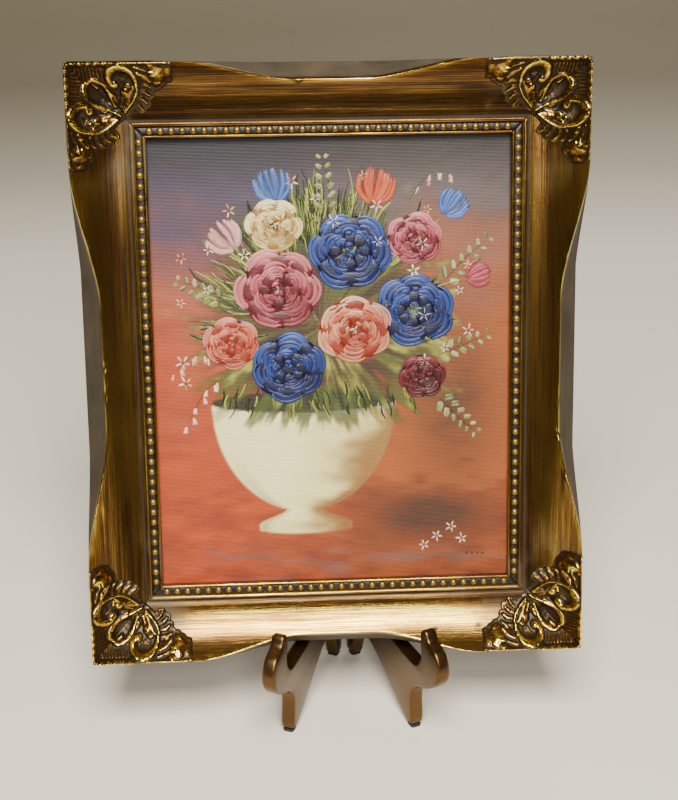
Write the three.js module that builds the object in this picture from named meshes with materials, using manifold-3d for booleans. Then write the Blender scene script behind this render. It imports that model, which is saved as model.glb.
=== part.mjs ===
// A small framed oil painting standing on a folding display easel.
// Units are millimetres. +Z is up, the painting faces -Y and +X is to the viewer's right.
// The framed panel is modelled in its own group: x to the right, y up along the frame and
// z out of its back plane towards the viewer. That group leans back and stands in the easel.

import * as THREE from "three";
import { mergeVertices } from "three/addons/utils/BufferGeometryUtils.js";
import Module from "manifold-3d";

const wasm = await Module();
wasm.setup();

// Driving dimensions: the canvas panel and the frame around it
const CANVAS_WIDTH = 203.2;
const CANVAS_HEIGHT = 254;
const CANVAS_THICKNESS = 4;
const CANVAS_CLEARANCE = 0.6;
const RABBET_LIP = 7.2;
const RABBET_DEPTH = 11;
const RAIL_WIDTH = 38;
const FRAME_DEPTH = 32;
const SIGHT_HEIGHT = 15.6;
const TOUCH_GAP = 0.3;

// The moulding, counted outward from the sight edge
const LIP_WIDTH = 1.5;
const CHANNEL_WIDTH = 4.4;
const CHANNEL_DEPTH = 1.6;
const FILLET_WIDTH = 2.3;
const FILLET_RISE = 0.5;
const QUIRK_WIDTH = 0.7;
const QUIRK_DEPTH = 1.9;
const BAND_WIDTH = 3;
const BAND_DROP = 0.6;
const SCOOP_STEPS = 4;
const SCOOP_FIRST_SLOPE = 0.12;
const SCOOP_POWER = 2.3;
const RIDGE_ROUND = 0.7;

// The swept outer edge: the ridge draws in towards the middle of each rail
const BEVEL_LEAN = THREE.MathUtils.degToRad(30);
const BEVEL_FOOT = 2.5;
const SIDE_SWEEP = { depth: 12, start: 48, reach: 77 };
const END_SWEEP = { depth: 9.2, start: 55, reach: 58 };
const SWEEP_STEPS = 3;

// The beading in its channel
const BEAD_RADIUS = 1.95;
const BEAD_PITCH = 5.7;
const BEAD_SIDES = 4;
const BEAD_RINGS = 3;
const BEAD_STRIP_HEIGHT = 0.7;

// The cast corner ornaments, counted from the outer corner along the two edges
const LEAF_SKIN = 1.1;
const LEAF_ARM = 49;
const LEAF_ARM_WIDTH = 8;
const LEAF_REACH = 27;
const LEAF_OVERHANG = 0.7;
const LEAF_SETBACK = 1.2;
const LEAF_WRAP = 9;
const LEAF_THROAT = { along: 3, across: 6 };
const LEAF_ROUND = 2;
const LEAF_SHOULDERS = [
  { back: 0, across: 2.5 },
  { back: 1, across: LEAF_ARM_WIDTH },
  { back: 9, across: LEAF_ARM_WIDTH + 5 },
  { back: 14, across: LEAF_ARM_WIDTH + 12 },
];
const CORNER_SPARE = 20;
const SCROLL_CENTRE = { along: 27.5, across: 9 };
const SCROLL_RADIUS = 6.2;
const SCROLL_STEM = 1.45;
const SCROLL_START = THREE.MathUtils.degToRad(200);
const SCROLL_TURN = THREE.MathUtils.degToRad(250);
const SCROLL_STEPS = 5;
const SCROLL_PROUD = 0.4;
const SCROLL_EDGE = 1.5;
const SCROLL_EYE = 2.3;
const LOOP_CENTRE = 15.5;
const LOOP_RADIUS = 5.2;
const LOOP_NARROW = 0.72;
const LOOP_STEM = 1.25;
const LOOP_STEPS = 7;
const LOOP_PROUD = 0.5;
const LOOP_TAIL_INSET = 2;
const BUD_PLACE = { along: 45, across: 5 };
const BUD_RADIUS = 3.4;
const BLADES = [
  { along: 38.5, across: 5.5, radius: 2.2, stretch: 2.1, turn: -0.25 },
  { along: 37, across: 11, radius: 2.2, stretch: 2.1, turn: 0.35 },
  { along: 32, across: 17.5, radius: 2.8, stretch: 1.8, turn: 0.9 },
];
const BLADE_FLATNESS = 0.8;
const FLUTE_COUNT = 4;
const FLUTE_START = { along: 4.5, across: 8.5 };
const FLUTE_RUN = { along: 4, across: 2.5 };
const FLUTE_STEP = { along: 1.47, outer: 1.89, inner: 2.73 };
const FLUTE_RISE = 0.2;
const FLUTE_RADIUS = 0.85;
const SCALLOP_COUNT = 3;
const SCALLOP_START = { along: 4, across: 1.4 };
const SCALLOP_PITCH = 5;
const SCALLOP_RADIUS = 2.1;

// Fixings on the back
const POINT_LENGTH = 12;
const POINT_WIDTH = 6;
const POINT_THICKNESS = 0.6;
const POINT_SHOULDER = 7.2;
const HANGER_LENGTH = 44;
const HANGER_WIDTH = 9;
const HANGER_THICKNESS = 0.9;
const HANGER_TEETH = 8;
const HANGER_TOOTH = 1.8;
const HANGER_TOOTHED = 26.4;
const HANGER_DROP = 14;

// The easel: two hooked plates that open like a book about a pin at the back
const LEAN = THREE.MathUtils.degToRad(15);
const OPEN_ANGLE = THREE.MathUtils.degToRad(22.5);
const PLATE_THICKNESS = 8;
const PLATE_ROUNDING = 1.6;
const PLATE_LENGTH = 84;
const HOOK_STEPS = 18;
const EASEL_HEIGHT = 151;
const SHELF_HEIGHT = 47;
const NOTCH_BACK = 29.4;
const NOTCH_FRONT = 5.7;
const SPINE_GAP = 1.1;
const TOP_WIDTH = 17;
const TOP_SHOULDER = 2;
const EASEL_OFFSET = 8;
const LEG_WIDTH = 8;
const TOE_ROUND = { back: 1, up: 5 };
const ARCH_HEIGHT = 27;
const ARCH_APEX = 60.5;
const ARCH_REAR = { leg: 2, rise: 12, top: 8 };
const ARCH_FRONT = { leg: 18, rise: 10, top: 14 };

// The hook's belly and its tip, both counted up from the shelf. The belly is counted back from
// the front foot and the tip back from the front of the notch.
const HOOK_BELLY = [
  { back: 1.2, up: -24.5 },
  { back: -2.6, up: -16 },
  { back: -15, up: -8.5 },
  { back: -24.5, up: 0 },
  { back: -27, up: 9 },
  { back: -22.5, up: 18 },
];
const HOOK_TIP = [
  { back: -7.8, up: 21.6 },
  { back: -5.6, up: 25.4 },
  { back: -2.6, up: 26.6 },
  { back: 0, up: 24.4 },
  { back: 0, up: 17 },
  { back: -1.4, up: 10 },
  { back: 1, up: 3 },
];

// The hinge at the easel's back and the pads under its feet
const PIN_RADIUS = 1.3;
const PIN_CLEARANCE = 0.3;
const KNUCKLE_RADIUS = 3.6;
const KNUCKLE_BACKSET = 4.2;
const KNUCKLE_HEIGHT = 12;
const KNUCKLE_COUNT = 6;
const KNUCKLE_START = 66;
const WEB_GAP = 0.4;
const PAD_THICKNESS = 1.6;
const PAD_INSET = 0.8;

// Sizes that follow from the ones above
const RABBET_WIDTH = CANVAS_WIDTH + 2 * CANVAS_CLEARANCE;
const RABBET_HEIGHT = CANVAS_HEIGHT + 2 * CANVAS_CLEARANCE;
const SIGHT_WIDTH = RABBET_WIDTH - 2 * RABBET_LIP;
const SIGHT_LENGTH = RABBET_HEIGHT - 2 * RABBET_LIP;
const OUTER_WIDTH = SIGHT_WIDTH + 2 * RAIL_WIDTH;
const OUTER_HEIGHT = SIGHT_LENGTH + 2 * RAIL_WIDTH;
const CHANNEL_FLOOR = SIGHT_HEIGHT - CHANNEL_DEPTH;
const CHANNEL_END = LIP_WIDTH + CHANNEL_WIDTH;
const FILLET_END = CHANNEL_END + FILLET_WIDTH;
const BAND_START = FILLET_END + QUIRK_WIDTH;
const SCOOP_START = BAND_START + BAND_WIDTH;
const SCOOP_FLOOR = SIGHT_HEIGHT - BAND_DROP;

const MATERIALS = {
  gilt: { color: 0x8a6428, roughness: 0.42, metalness: 0.6 },
  beading: { color: 0xa08a4e, roughness: 0.5, metalness: 0.5 },
  ornament: { color: 0xb48a40, roughness: 0.5, metalness: 0.5 },
  canvas: { color: 0xc08a70, roughness: 0.7, metalness: 0 },
  steel: { color: 0x9a9a98, roughness: 0.4, metalness: 1 },
  brass: { color: 0xb0904c, roughness: 0.4, metalness: 1 },
  bronze: { color: 0xaa8255, roughness: 0.35, metalness: 0.35 },
  rubber: { color: 0x1c1a18, roughness: 0.85, metalness: 0 },
};

const piece = (name, geometry, material) => {
  const mesh = new THREE.Mesh(geometry, new THREE.MeshStandardMaterial(MATERIALS[material]));
  mesh.name = name;
  return mesh;
};

// A smooth step from 0 to 1.
const smooth = (t) => {
  const c = THREE.MathUtils.clamp(t, 0, 1);
  return c * c * (3 - 2 * c);
};

const flipTriangles = (triangles) => {
  for (let i = 0; i < triangles.length; i += 3) {
    [triangles[i + 1], triangles[i + 2]] = [triangles[i + 2], triangles[i + 1]];
  }
  return triangles;
};

// A closed geometry as a solid that can be joined and cut, its faces turned outward.
function solidOf(geometry) {
  const bare = geometry.clone();
  bare.deleteAttribute("normal");
  bare.deleteAttribute("uv");
  const merged = mergeVertices(bare, 1e-4);
  const mesh = () => ({
    numProp: 3,
    vertProperties: new Float32Array(merged.attributes.position.array),
    triVerts: new Uint32Array(merged.index.array),
  });
  const first = new wasm.Manifold(new wasm.Mesh(mesh()));
  if (first.volume() > 0) return first;
  const turned = mesh();
  flipTriangles(turned.triVerts);
  return new wasm.Manifold(new wasm.Mesh(turned));
}

function geometryOf(solid) {
  const mesh = solid.getMesh();
  const positions = new Float32Array(mesh.numVert * 3);
  for (let i = 0; i < mesh.numVert; i++) {
    positions.set(mesh.vertProperties.subarray(i * mesh.numProp, i * mesh.numProp + 3), i * 3);
  }
  const geometry = new THREE.BufferGeometry();
  geometry.setAttribute("position", new THREE.BufferAttribute(positions, 3));
  geometry.setIndex(new THREE.BufferAttribute(new Uint32Array(mesh.triVerts), 1));
  geometry.computeVertexNormals();
  return geometry;
}

const joined = (solids) => solids.reduce((whole, next) => whole.add(next));

// A closed body through equal rings of points, flat at both ends.
function loft(rings) {
  const count = rings[0].length;
  const positions = rings.flat().flatMap((p) => [p.x, p.y, p.z]);
  const triangles = [];
  for (let r = 0; r + 1 < rings.length; r++) {
    for (let i = 0; i < count; i++) {
      const a = r * count + i;
      const b = r * count + ((i + 1) % count);
      triangles.push(a, b, b + count, a, b + count, a + count);
    }
  }
  return { count, positions, triangles };
}

// Closes a loft with the triangles of its flat section and gives it as a geometry.
function closeLoft({ count, positions, triangles }, section) {
  const faces = THREE.ShapeUtils.triangulateShape(section, []);
  const reversed = THREE.ShapeUtils.isClockWise(section);
  const last = positions.length / 3 - count;
  for (const [a, p, q] of faces) {
    const [b, c] = reversed ? [q, p] : [p, q];
    triangles.push(a, c, b, last + a, last + b, last + c);
  }
  const geometry = new THREE.BufferGeometry();
  geometry.setAttribute("position", new THREE.Float32BufferAttribute(positions, 3));
  geometry.setIndex(triangles);
  return geometryOf(solidOf(geometry));
}

// Height of the scoop above the back plane at a distance from the sight edge.
function scoopHeight(across) {
  const t = (across - SCOOP_START) / (RAIL_WIDTH - SCOOP_START);
  const bend = SCOOP_FIRST_SLOPE * t + (1 - SCOOP_FIRST_SLOPE) * Math.pow(t, SCOOP_POWER);
  return SCOOP_FLOOR + (FRAME_DEPTH - SCOOP_FLOOR) * bend;
}

// The rail's section as points (across, height), with the ridge drawn in by `sweep`. `lift`
// raises the front and the outside evenly, for what lies on the rail.
function railSection(sweep, lift = 0) {
  const ridge = RAIL_WIDTH - sweep;
  const ridgeHeight = scoopHeight(ridge);
  const bevelFoot = Math.max(ridgeHeight - sweep / Math.tan(BEVEL_LEAN), BEVEL_FOOT);
  const points = [
    [0, RABBET_DEPTH],
    [0, SIGHT_HEIGHT - RIDGE_ROUND / 2],
    [LIP_WIDTH, SIGHT_HEIGHT],
    [LIP_WIDTH, CHANNEL_FLOOR],
    [CHANNEL_END, CHANNEL_FLOOR],
    [CHANNEL_END, SIGHT_HEIGHT],
    [FILLET_END, SIGHT_HEIGHT + FILLET_RISE],
    [BAND_START, SIGHT_HEIGHT + FILLET_RISE - QUIRK_DEPTH],
  ];
  const scoopEnd = ridge - RIDGE_ROUND;
  for (let i = 0; i <= SCOOP_STEPS; i++) {
    const across = SCOOP_START + ((scoopEnd - SCOOP_START) * i) / SCOOP_STEPS;
    points.push([across, scoopHeight(across) + lift]);
  }
  points.push([ridge + lift, ridgeHeight - RIDGE_ROUND / 2 + lift]);
  points.push([RAIL_WIDTH + lift, Math.max(bevelFoot - RIDGE_ROUND, BEVEL_FOOT) + lift]);
  points.push([RAIL_WIDTH + lift, 0], [RABBET_LIP, 0], [RABBET_LIP, RABBET_DEPTH]);
  return points;
}

// Distances from the outer corner at which the sweep of a rail needs a section.
function sweepStations({ start, reach }) {
  const stations = [0];
  for (let i = 0; i <= SWEEP_STEPS; i++) {
    stations.push(start + (reach * i) / SWEEP_STEPS);
  }
  return stations;
}

// A mitred rail along x with its sight edge on the x axis. Each section point keeps to its
// share of the length between the two mitres.
function railGeometry(sightLength, sweep) {
  const outer = sightLength / 2 + RAIL_WIDTH;
  const mitreGap = TOUCH_GAP * Math.SQRT1_2;
  const near = sweepStations(sweep);
  const far = near.map((q) => 2 * outer - q).reverse();
  const rings = [...near, ...far].map((q) => {
    const share = q / outer - 1;
    const inset = sweep.depth * smooth((Math.min(q, 2 * outer - q) - sweep.start) / sweep.reach);
    return railSection(inset).map(
      ([across, height]) =>
        new THREE.Vector3(share * (sightLength / 2 + across - mitreGap), across, height),
    );
  });
  const section = railSection(0).map(([across, height]) => new THREE.Vector2(across, height));
  return closeLoft(loft(rings), section);
}

// The beading of one rail: a flat strip with a row of round beads on it.
function beadingGeometry(sightLength) {
  const centre = LIP_WIDTH + CHANNEL_WIDTH / 2;
  const half = CHANNEL_WIDTH / 2 - TOUCH_GAP;
  const floor = CHANNEL_FLOOR + TOUCH_GAP;
  const strip = new THREE.Shape();
  const end = (across) => sightLength / 2 + across - TOUCH_GAP;
  strip.moveTo(-end(centre - half), centre - half);
  strip.lineTo(end(centre - half), centre - half);
  strip.lineTo(end(centre + half), centre + half);
  strip.lineTo(-end(centre + half), centre + half);
  const base = new THREE.ExtrudeGeometry(strip, { depth: BEAD_STRIP_HEIGHT, bevelEnabled: false });
  base.translate(0, 0, floor);
  const run = sightLength - 2 * BEAD_RADIUS;
  const count = Math.round(run / BEAD_PITCH) + 1;
  const solids = [solidOf(base)];
  for (let i = 0; i < count; i++) {
    const bead = new THREE.SphereGeometry(BEAD_RADIUS, BEAD_SIDES, BEAD_RINGS);
    bead.rotateX(Math.PI / 2);
    bead.translate(-run / 2 + (run * i) / (count - 1), centre, floor + BEAD_STRIP_HEIGHT * 0.5);
    solids.push(solidOf(bead));
  }
  const under = new THREE.BoxGeometry(2 * sightLength, CHANNEL_WIDTH, CHANNEL_DEPTH * 2);
  under.translate(0, centre, floor - CHANNEL_DEPTH);
  return geometryOf(joined(solids).subtract(solidOf(under)));
}

// Moves a rail-aligned geometry to one side of the frame: 0 top, 1 left, 2 bottom, 3 right.
function placeOnSide(mesh, side) {
  const halfSight = side % 2 === 0 ? SIGHT_LENGTH / 2 : SIGHT_WIDTH / 2;
  const turn = (side * Math.PI) / 2;
  mesh.rotation.z = turn;
  mesh.position.set(-Math.sin(turn) * halfSight, OUTER_HEIGHT / 2 + Math.cos(turn) * halfSight, 0);
  return mesh;
}

// Corner ornament, drawn for the upper right corner. A place is (along, across): `along` runs
// from the outer corner down one edge and `across` runs inward from that edge.
function moundHeight(along, across) {
  const inward = Math.min(along, across);
  const fromSight = RAIL_WIDTH - inward;
  return fromSight > SCOOP_START ? scoopHeight(Math.min(fromSight, RAIL_WIDTH - RIDGE_ROUND)) : SCOOP_FLOOR;
}

const onCorner = (along, across, proud) =>
  new THREE.Vector3(-along, -across, moundHeight(along, across) + proud);

// The straight corner of two rails, raised by `lift`.
function cornerBlock(lift) {
  const reach = LEAF_ARM + CORNER_SPARE;
  const arm = (turned) => {
    const rings = [0, reach].map((q) =>
      railSection(0, lift).map(([across, height]) => {
        const inward = RAIL_WIDTH - across;
        const along = q === 0 ? inward : reach;
        return turned
          ? new THREE.Vector3(-inward, -along, height)
          : new THREE.Vector3(-along, -inward, height);
      }),
    );
    const section = railSection(0, lift).map(([across, height]) => new THREE.Vector2(across, height));
    return solidOf(closeLoft(loft(rings), section));
  };
  return arm(false).add(arm(true));
}

// Half the outline of the ornament, from the outer corner along one arm and back to the diagonal.
function leafOutline(edge) {
  const arm = [
    [LEAF_ARM - LEAF_THROAT.along, edge],
    ...LEAF_SHOULDERS.map(({ back, across }) => [LEAF_ARM - back, across]),
    [LEAF_REACH + LEAF_THROAT.along, LEAF_REACH - LEAF_THROAT.across],
    [LEAF_REACH, LEAF_REACH],
  ];
  const mirrored = arm.slice(0, -1).reverse().map(([a, b]) => [b, a]);
  const outline = [[edge + LEAF_ROUND, edge], ...arm, ...mirrored, [edge, edge + LEAF_ROUND]];
  return new THREE.Shape(outline.map(([a, b]) => new THREE.Vector2(-a, -b)));
}

function roundStem(points, radius, steps, sides = 5) {
  const ring = [];
  for (let i = 0; i < sides; i++) {
    const turn = (2 * Math.PI * i) / sides;
    ring.push(new THREE.Vector2(radius * Math.cos(turn), radius * Math.sin(turn)));
  }
  const path = new THREE.CatmullRomCurve3(points);
  return new THREE.ExtrudeGeometry(new THREE.Shape(ring), { steps, extrudePath: path });
}

function placedOnCorner(geometry, along, across, proud) {
  const place = onCorner(along, across, proud);
  return geometry.translate(place.x, place.y, place.z);
}

const ball = (along, across, proud, radius) =>
  placedOnCorner(new THREE.IcosahedronGeometry(radius, 0), along, across, proud);

// A small pointed leaf, `stretch` times as long as it is wide, turned in the plane of the frame.
function blade({ along, across, radius, stretch, turn }) {
  const geometry = new THREE.OctahedronGeometry(radius, 0);
  geometry.scale(stretch, 1, BLADE_FLATNESS);
  geometry.rotateZ(turn);
  return placedOnCorner(geometry, along, across, LEAF_SKIN);
}

// The open C-shaped scroll with a ball at its inner end.
function scrollParts() {
  const points = [];
  for (let i = 0; i <= SCROLL_STEPS; i++) {
    const turn = SCROLL_START + (SCROLL_TURN * i) / SCROLL_STEPS;
    const along = SCROLL_CENTRE.along + SCROLL_RADIUS * Math.cos(turn);
    const across = SCROLL_CENTRE.across + SCROLL_RADIUS * Math.sin(turn);
    points.push(onCorner(along, Math.max(across, SCROLL_EDGE), LEAF_SKIN + SCROLL_PROUD));
  }
  const eyeAlong = SCROLL_CENTRE.along - SCROLL_RADIUS + SCROLL_STEM;
  const eye = ball(eyeAlong, SCROLL_CENTRE.across, LEAF_SKIN, SCROLL_EYE);
  return [roundStem(points, SCROLL_STEM, SCROLL_STEPS, 4), eye];
}

function leafParts() {
  const parts = [ball(BUD_PLACE.along, BUD_PLACE.across, LEAF_SKIN, BUD_RADIUS), ...BLADES.map(blade)];
  for (let i = 0; i < FLUTE_COUNT; i++) {
    const along = FLUTE_START.along + FLUTE_STEP.along * i;
    const outer = FLUTE_START.across + FLUTE_STEP.outer * i;
    const inner = FLUTE_START.across + FLUTE_RUN.across + FLUTE_STEP.inner * i;
    const from = onCorner(along, outer, LEAF_SKIN);
    const to = onCorner(along + FLUTE_RUN.along, inner, LEAF_SKIN + FLUTE_RISE);
    parts.push(roundStem([from, to], FLUTE_RADIUS, 1, 3));
  }
  for (let i = 0; i < SCALLOP_COUNT; i++) {
    const along = SCALLOP_START.along + SCALLOP_PITCH * i;
    parts.push(blade({ along, across: SCALLOP_START.across, radius: SCALLOP_RADIUS, stretch: 1, turn: 0 }));
  }
  return parts;
}

// The central drop: a narrow loop on the diagonal whose tail runs to the inner point.
function loopStem() {
  const tail = LEAF_REACH - LOOP_TAIL_INSET;
  const points = [onCorner(tail, tail, LEAF_SKIN)];
  for (let i = 0; i <= LOOP_STEPS; i++) {
    const turn = (2 * Math.PI * i) / LOOP_STEPS;
    const down = LOOP_CENTRE + LOOP_RADIUS * Math.cos(turn) * Math.SQRT1_2;
    const side = LOOP_RADIUS * LOOP_NARROW * Math.sin(turn) * Math.SQRT1_2;
    points.push(onCorner(down + side, down - side, LEAF_SKIN + LOOP_PROUD));
  }
  return roundStem(points, LOOP_STEM, LOOP_STEPS + 1, 4);
}

// Swaps the two edges of the corner, which turns every triangle round.
function mirroredOnDiagonal(geometry) {
  const swap = new THREE.Matrix4().set(0, 1, 0, 0, 1, 0, 0, 0, 0, 0, 1, 0, 0, 0, 0, 1);
  return geometry.clone().applyMatrix4(swap);
}

function ornamentSolid() {
  const sheet = (edge) =>
    new THREE.ExtrudeGeometry(leafOutline(edge), { depth: 2 * FRAME_DEPTH, bevelEnabled: false });
  const rim = sheet(-LEAF_OVERHANG).translate(0, 0, FRAME_DEPTH - LEAF_WRAP);
  const half = [...scrollParts(), ...leafParts()];
  const relief = [...half, ...half.map(mirroredOnDiagonal), loopStem()].map(solidOf);
  const skin = solidOf(rim).add(solidOf(sheet(LEAF_SETBACK))).intersect(cornerBlock(LEAF_SKIN));
  return joined([skin, ...relief]).subtract(cornerBlock(TOUCH_GAP));
}

// The four ornaments are one casting, mirrored into each corner.
function ornaments() {
  const master = geometryOf(ornamentSolid());
  const corners = { top_right: [1, 1], top_left: [-1, 1], bottom_left: [-1, -1], bottom_right: [1, -1] };
  return Object.entries(corners).map(([name, [sx, sy]]) => {
    const geometry = master.clone().scale(sx, sy, 1);
    if (sx * sy < 0) flipTriangles(geometry.index.array);
    const mesh = piece("corner_ornament_" + name, geometry, "ornament");
    mesh.position.set((sx * OUTER_WIDTH) / 2, ((1 + sy) * OUTER_HEIGHT) / 2, 0);
    return mesh;
  });
}

const canvasFront = RABBET_DEPTH - TOUCH_GAP;
const canvasBack = canvasFront - CANVAS_THICKNESS;

function canvasPanel() {
  const geometry = new THREE.BoxGeometry(CANVAS_WIDTH, CANVAS_HEIGHT, CANVAS_THICKNESS);
  const mesh = piece("canvas_panel", geometry, "canvas");
  mesh.position.set(0, OUTER_HEIGHT / 2, canvasFront - CANVAS_THICKNESS / 2);
  return mesh;
}

// A flat pointed tab that holds the panel in its rabbet.
function pointGeometry() {
  const tab = new THREE.Shape();
  tab.moveTo(-POINT_WIDTH / 2, 0);
  tab.lineTo(POINT_WIDTH / 2, 0);
  tab.lineTo(POINT_WIDTH / 2, -POINT_SHOULDER);
  tab.lineTo(0, -POINT_LENGTH);
  tab.lineTo(-POINT_WIDTH / 2, -POINT_SHOULDER);
  return new THREE.ExtrudeGeometry(tab, { depth: POINT_THICKNESS, bevelEnabled: false });
}

function framingPoints() {
  const z = canvasBack - TOUCH_GAP - POINT_THICKNESS;
  const halfWidth = RABBET_WIDTH / 2 - TOUCH_GAP;
  const halfHeight = RABBET_HEIGHT / 2 - TOUCH_GAP;
  const places = {
    top: [0, halfHeight, 0],
    bottom: [0, -halfHeight, 2],
    left_upper: [-halfWidth, halfHeight / 2, 1],
    left_lower: [-halfWidth, -halfHeight / 2, 1],
    right_upper: [halfWidth, halfHeight / 2, 3],
    right_lower: [halfWidth, -halfHeight / 2, 3],
  };
  return Object.entries(places).map(([name, [x, y, quarter]]) => {
    const mesh = piece("framing_point_" + name, pointGeometry(), "steel");
    mesh.rotation.z = (quarter * Math.PI) / 2;
    mesh.position.set(x, OUTER_HEIGHT / 2 + y, z);
    return mesh;
  });
}

// The toothed hanging plate in the middle of the top rail's back.
function hanger() {
  const plate = new THREE.Shape();
  plate.moveTo(-HANGER_LENGTH / 2, HANGER_WIDTH);
  plate.lineTo(-HANGER_LENGTH / 2, 0);
  const tooth = HANGER_TOOTHED / HANGER_TEETH;
  const start = -HANGER_TOOTHED / 2;
  for (let i = 0; i < HANGER_TEETH; i++) {
    plate.lineTo(start + tooth * i, 0);
    plate.lineTo(start + tooth * (i + 0.5), HANGER_TOOTH);
  }
  plate.lineTo(-start, 0);
  plate.lineTo(HANGER_LENGTH / 2, 0);
  plate.lineTo(HANGER_LENGTH / 2, HANGER_WIDTH);
  const geometry = new THREE.ExtrudeGeometry(plate, { depth: HANGER_THICKNESS, bevelEnabled: false });
  const mesh = piece("sawtooth_hanger", geometry, "brass");
  mesh.position.set(0, OUTER_HEIGHT - HANGER_DROP - HANGER_WIDTH, -TOUCH_GAP - HANGER_THICKNESS);
  return mesh;
}

function framedPanel() {
  const group = new THREE.Group();
  const sides = ["top", "left", "bottom", "right"];
  sides.forEach((name, side) => {
    const level = side % 2 === 0;
    const length = level ? SIGHT_WIDTH : SIGHT_LENGTH;
    const rail = piece("rail_" + name, railGeometry(length, level ? END_SWEEP : SIDE_SWEEP), "gilt");
    const beading = piece("beading_" + name, beadingGeometry(length), "beading");
    group.add(placeOnSide(rail, side), placeOnSide(beading, side));
  });
  group.add(...ornaments(), canvasPanel(), ...framingPoints(), hanger());
  return group;
}

// The front of a plate's outline: from its toe over the belly and tip of the hook to the shelf.
function drawHook(outline, foot) {
  outline.moveTo(TOE_ROUND.back, foot);
  outline.lineTo(0, foot + TOE_ROUND.up);
  const belly = HOOK_BELLY.map(({ back, up }) => new THREE.Vector2(back, SHELF_HEIGHT + up));
  const tip = HOOK_TIP.map(({ back, up }) => new THREE.Vector2(back - NOTCH_FRONT, SHELF_HEIGHT + up));
  const shelf = new THREE.Vector2(0, SHELF_HEIGHT);
  const line = new THREE.SplineCurve([outline.currentPoint, ...belly, ...tip, shelf]);
  line.getPoints(HOOK_STEPS).forEach((p) => outline.lineTo(p.x, p.y));
}

// The arch between the rear leg and the front one.
function drawArch(outline, foot) {
  const { leg, rise, top } = ARCH_REAR;
  const farLeg = PLATE_LENGTH - LEG_WIDTH;
  outline.lineTo(farLeg, foot);
  outline.bezierCurveTo(farLeg - leg, foot + rise, ARCH_APEX + top, ARCH_HEIGHT, ARCH_APEX, ARCH_HEIGHT);
  outline.bezierCurveTo(
    ARCH_APEX - ARCH_FRONT.top,
    ARCH_HEIGHT,
    LEG_WIDTH + ARCH_FRONT.leg,
    foot + ARCH_FRONT.rise,
    LEG_WIDTH,
    foot,
  );
}

// The plate's outline, seen from its side: x runs back from the front foot and y runs up.
function plateOutline() {
  const foot = PAD_THICKNESS + TOUCH_GAP;
  const backSlope = Math.tan(LEAN) / Math.cos(OPEN_ANGLE);
  const shoulder = EASEL_HEIGHT - TOP_WIDTH / 2;
  const backrestTop = NOTCH_BACK + backSlope * (shoulder - SHELF_HEIGHT);
  const outline = new THREE.Shape();
  drawHook(outline, foot);
  outline.lineTo(NOTCH_BACK, SHELF_HEIGHT);
  outline.lineTo(backrestTop, shoulder);
  const crown = backrestTop + TOP_WIDTH / 2;
  outline.quadraticCurveTo(backrestTop + TOP_SHOULDER, EASEL_HEIGHT, crown, EASEL_HEIGHT);
  outline.quadraticCurveTo(PLATE_LENGTH, EASEL_HEIGHT, PLATE_LENGTH, shoulder);
  outline.lineTo(PLATE_LENGTH, foot);
  drawArch(outline, foot);
  return outline;
}

// Frame of one plate: x back along it, y up, z across it. `side` is -1 left and 1 right.
function plateBasis(side) {
  const back = new THREE.Vector3(-side * Math.sin(OPEN_ANGLE), Math.cos(OPEN_ANGLE), 0);
  const up = new THREE.Vector3(0, 0, 1);
  const foot = new THREE.Vector3(side * (SPINE_GAP + PLATE_LENGTH * Math.sin(OPEN_ANGLE)), 0, 0);
  const across = new THREE.Vector3().crossVectors(back, up);
  return new THREE.Matrix4().makeBasis(back, up, across).setPosition(foot);
}

const pinPlace = () =>
  new THREE.Vector3(0, PLATE_LENGTH * Math.cos(OPEN_ANGLE) + KNUCKLE_BACKSET, KNUCKLE_START);

// An upright round bar about the hinge pin, from one height to another.
function uprightBar(radius, from, to, sides = 10) {
  const bar = new THREE.CylinderGeometry(radius, radius, to - from, sides);
  bar.rotateX(Math.PI / 2);
  const place = pinPlace();
  bar.translate(place.x, place.y, (from + to) / 2);
  return solidOf(bar);
}

// The knuckles of one half of the hinge, with the webs that join them to the plate.
function knuckles(side) {
  const solids = [];
  for (let i = side < 0 ? 0 : 1; i < KNUCKLE_COUNT; i += 2) {
    const from = KNUCKLE_START + i * KNUCKLE_HEIGHT + TOUCH_GAP / 2;
    const to = from + KNUCKLE_HEIGHT - TOUCH_GAP;
    const place = pinPlace();
    const web = new THREE.BoxGeometry(KNUCKLE_RADIUS, 2 * KNUCKLE_RADIUS, to - from);
    web.translate(side * (KNUCKLE_RADIUS / 2 + WEB_GAP), place.y - KNUCKLE_RADIUS, (from + to) / 2);
    solids.push(uprightBar(KNUCKLE_RADIUS, from, to), solidOf(web));
  }
  return joined(solids);
}

// Room around the other half's knuckles.
function knuckleRoom(side) {
  const solids = [];
  for (let i = side < 0 ? 1 : 0; i < KNUCKLE_COUNT; i += 2) {
    const from = KNUCKLE_START + i * KNUCKLE_HEIGHT - TOUCH_GAP / 2;
    solids.push(uprightBar(KNUCKLE_RADIUS + TOUCH_GAP, from, from + KNUCKLE_HEIGHT + TOUCH_GAP));
  }
  return joined(solids);
}

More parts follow.
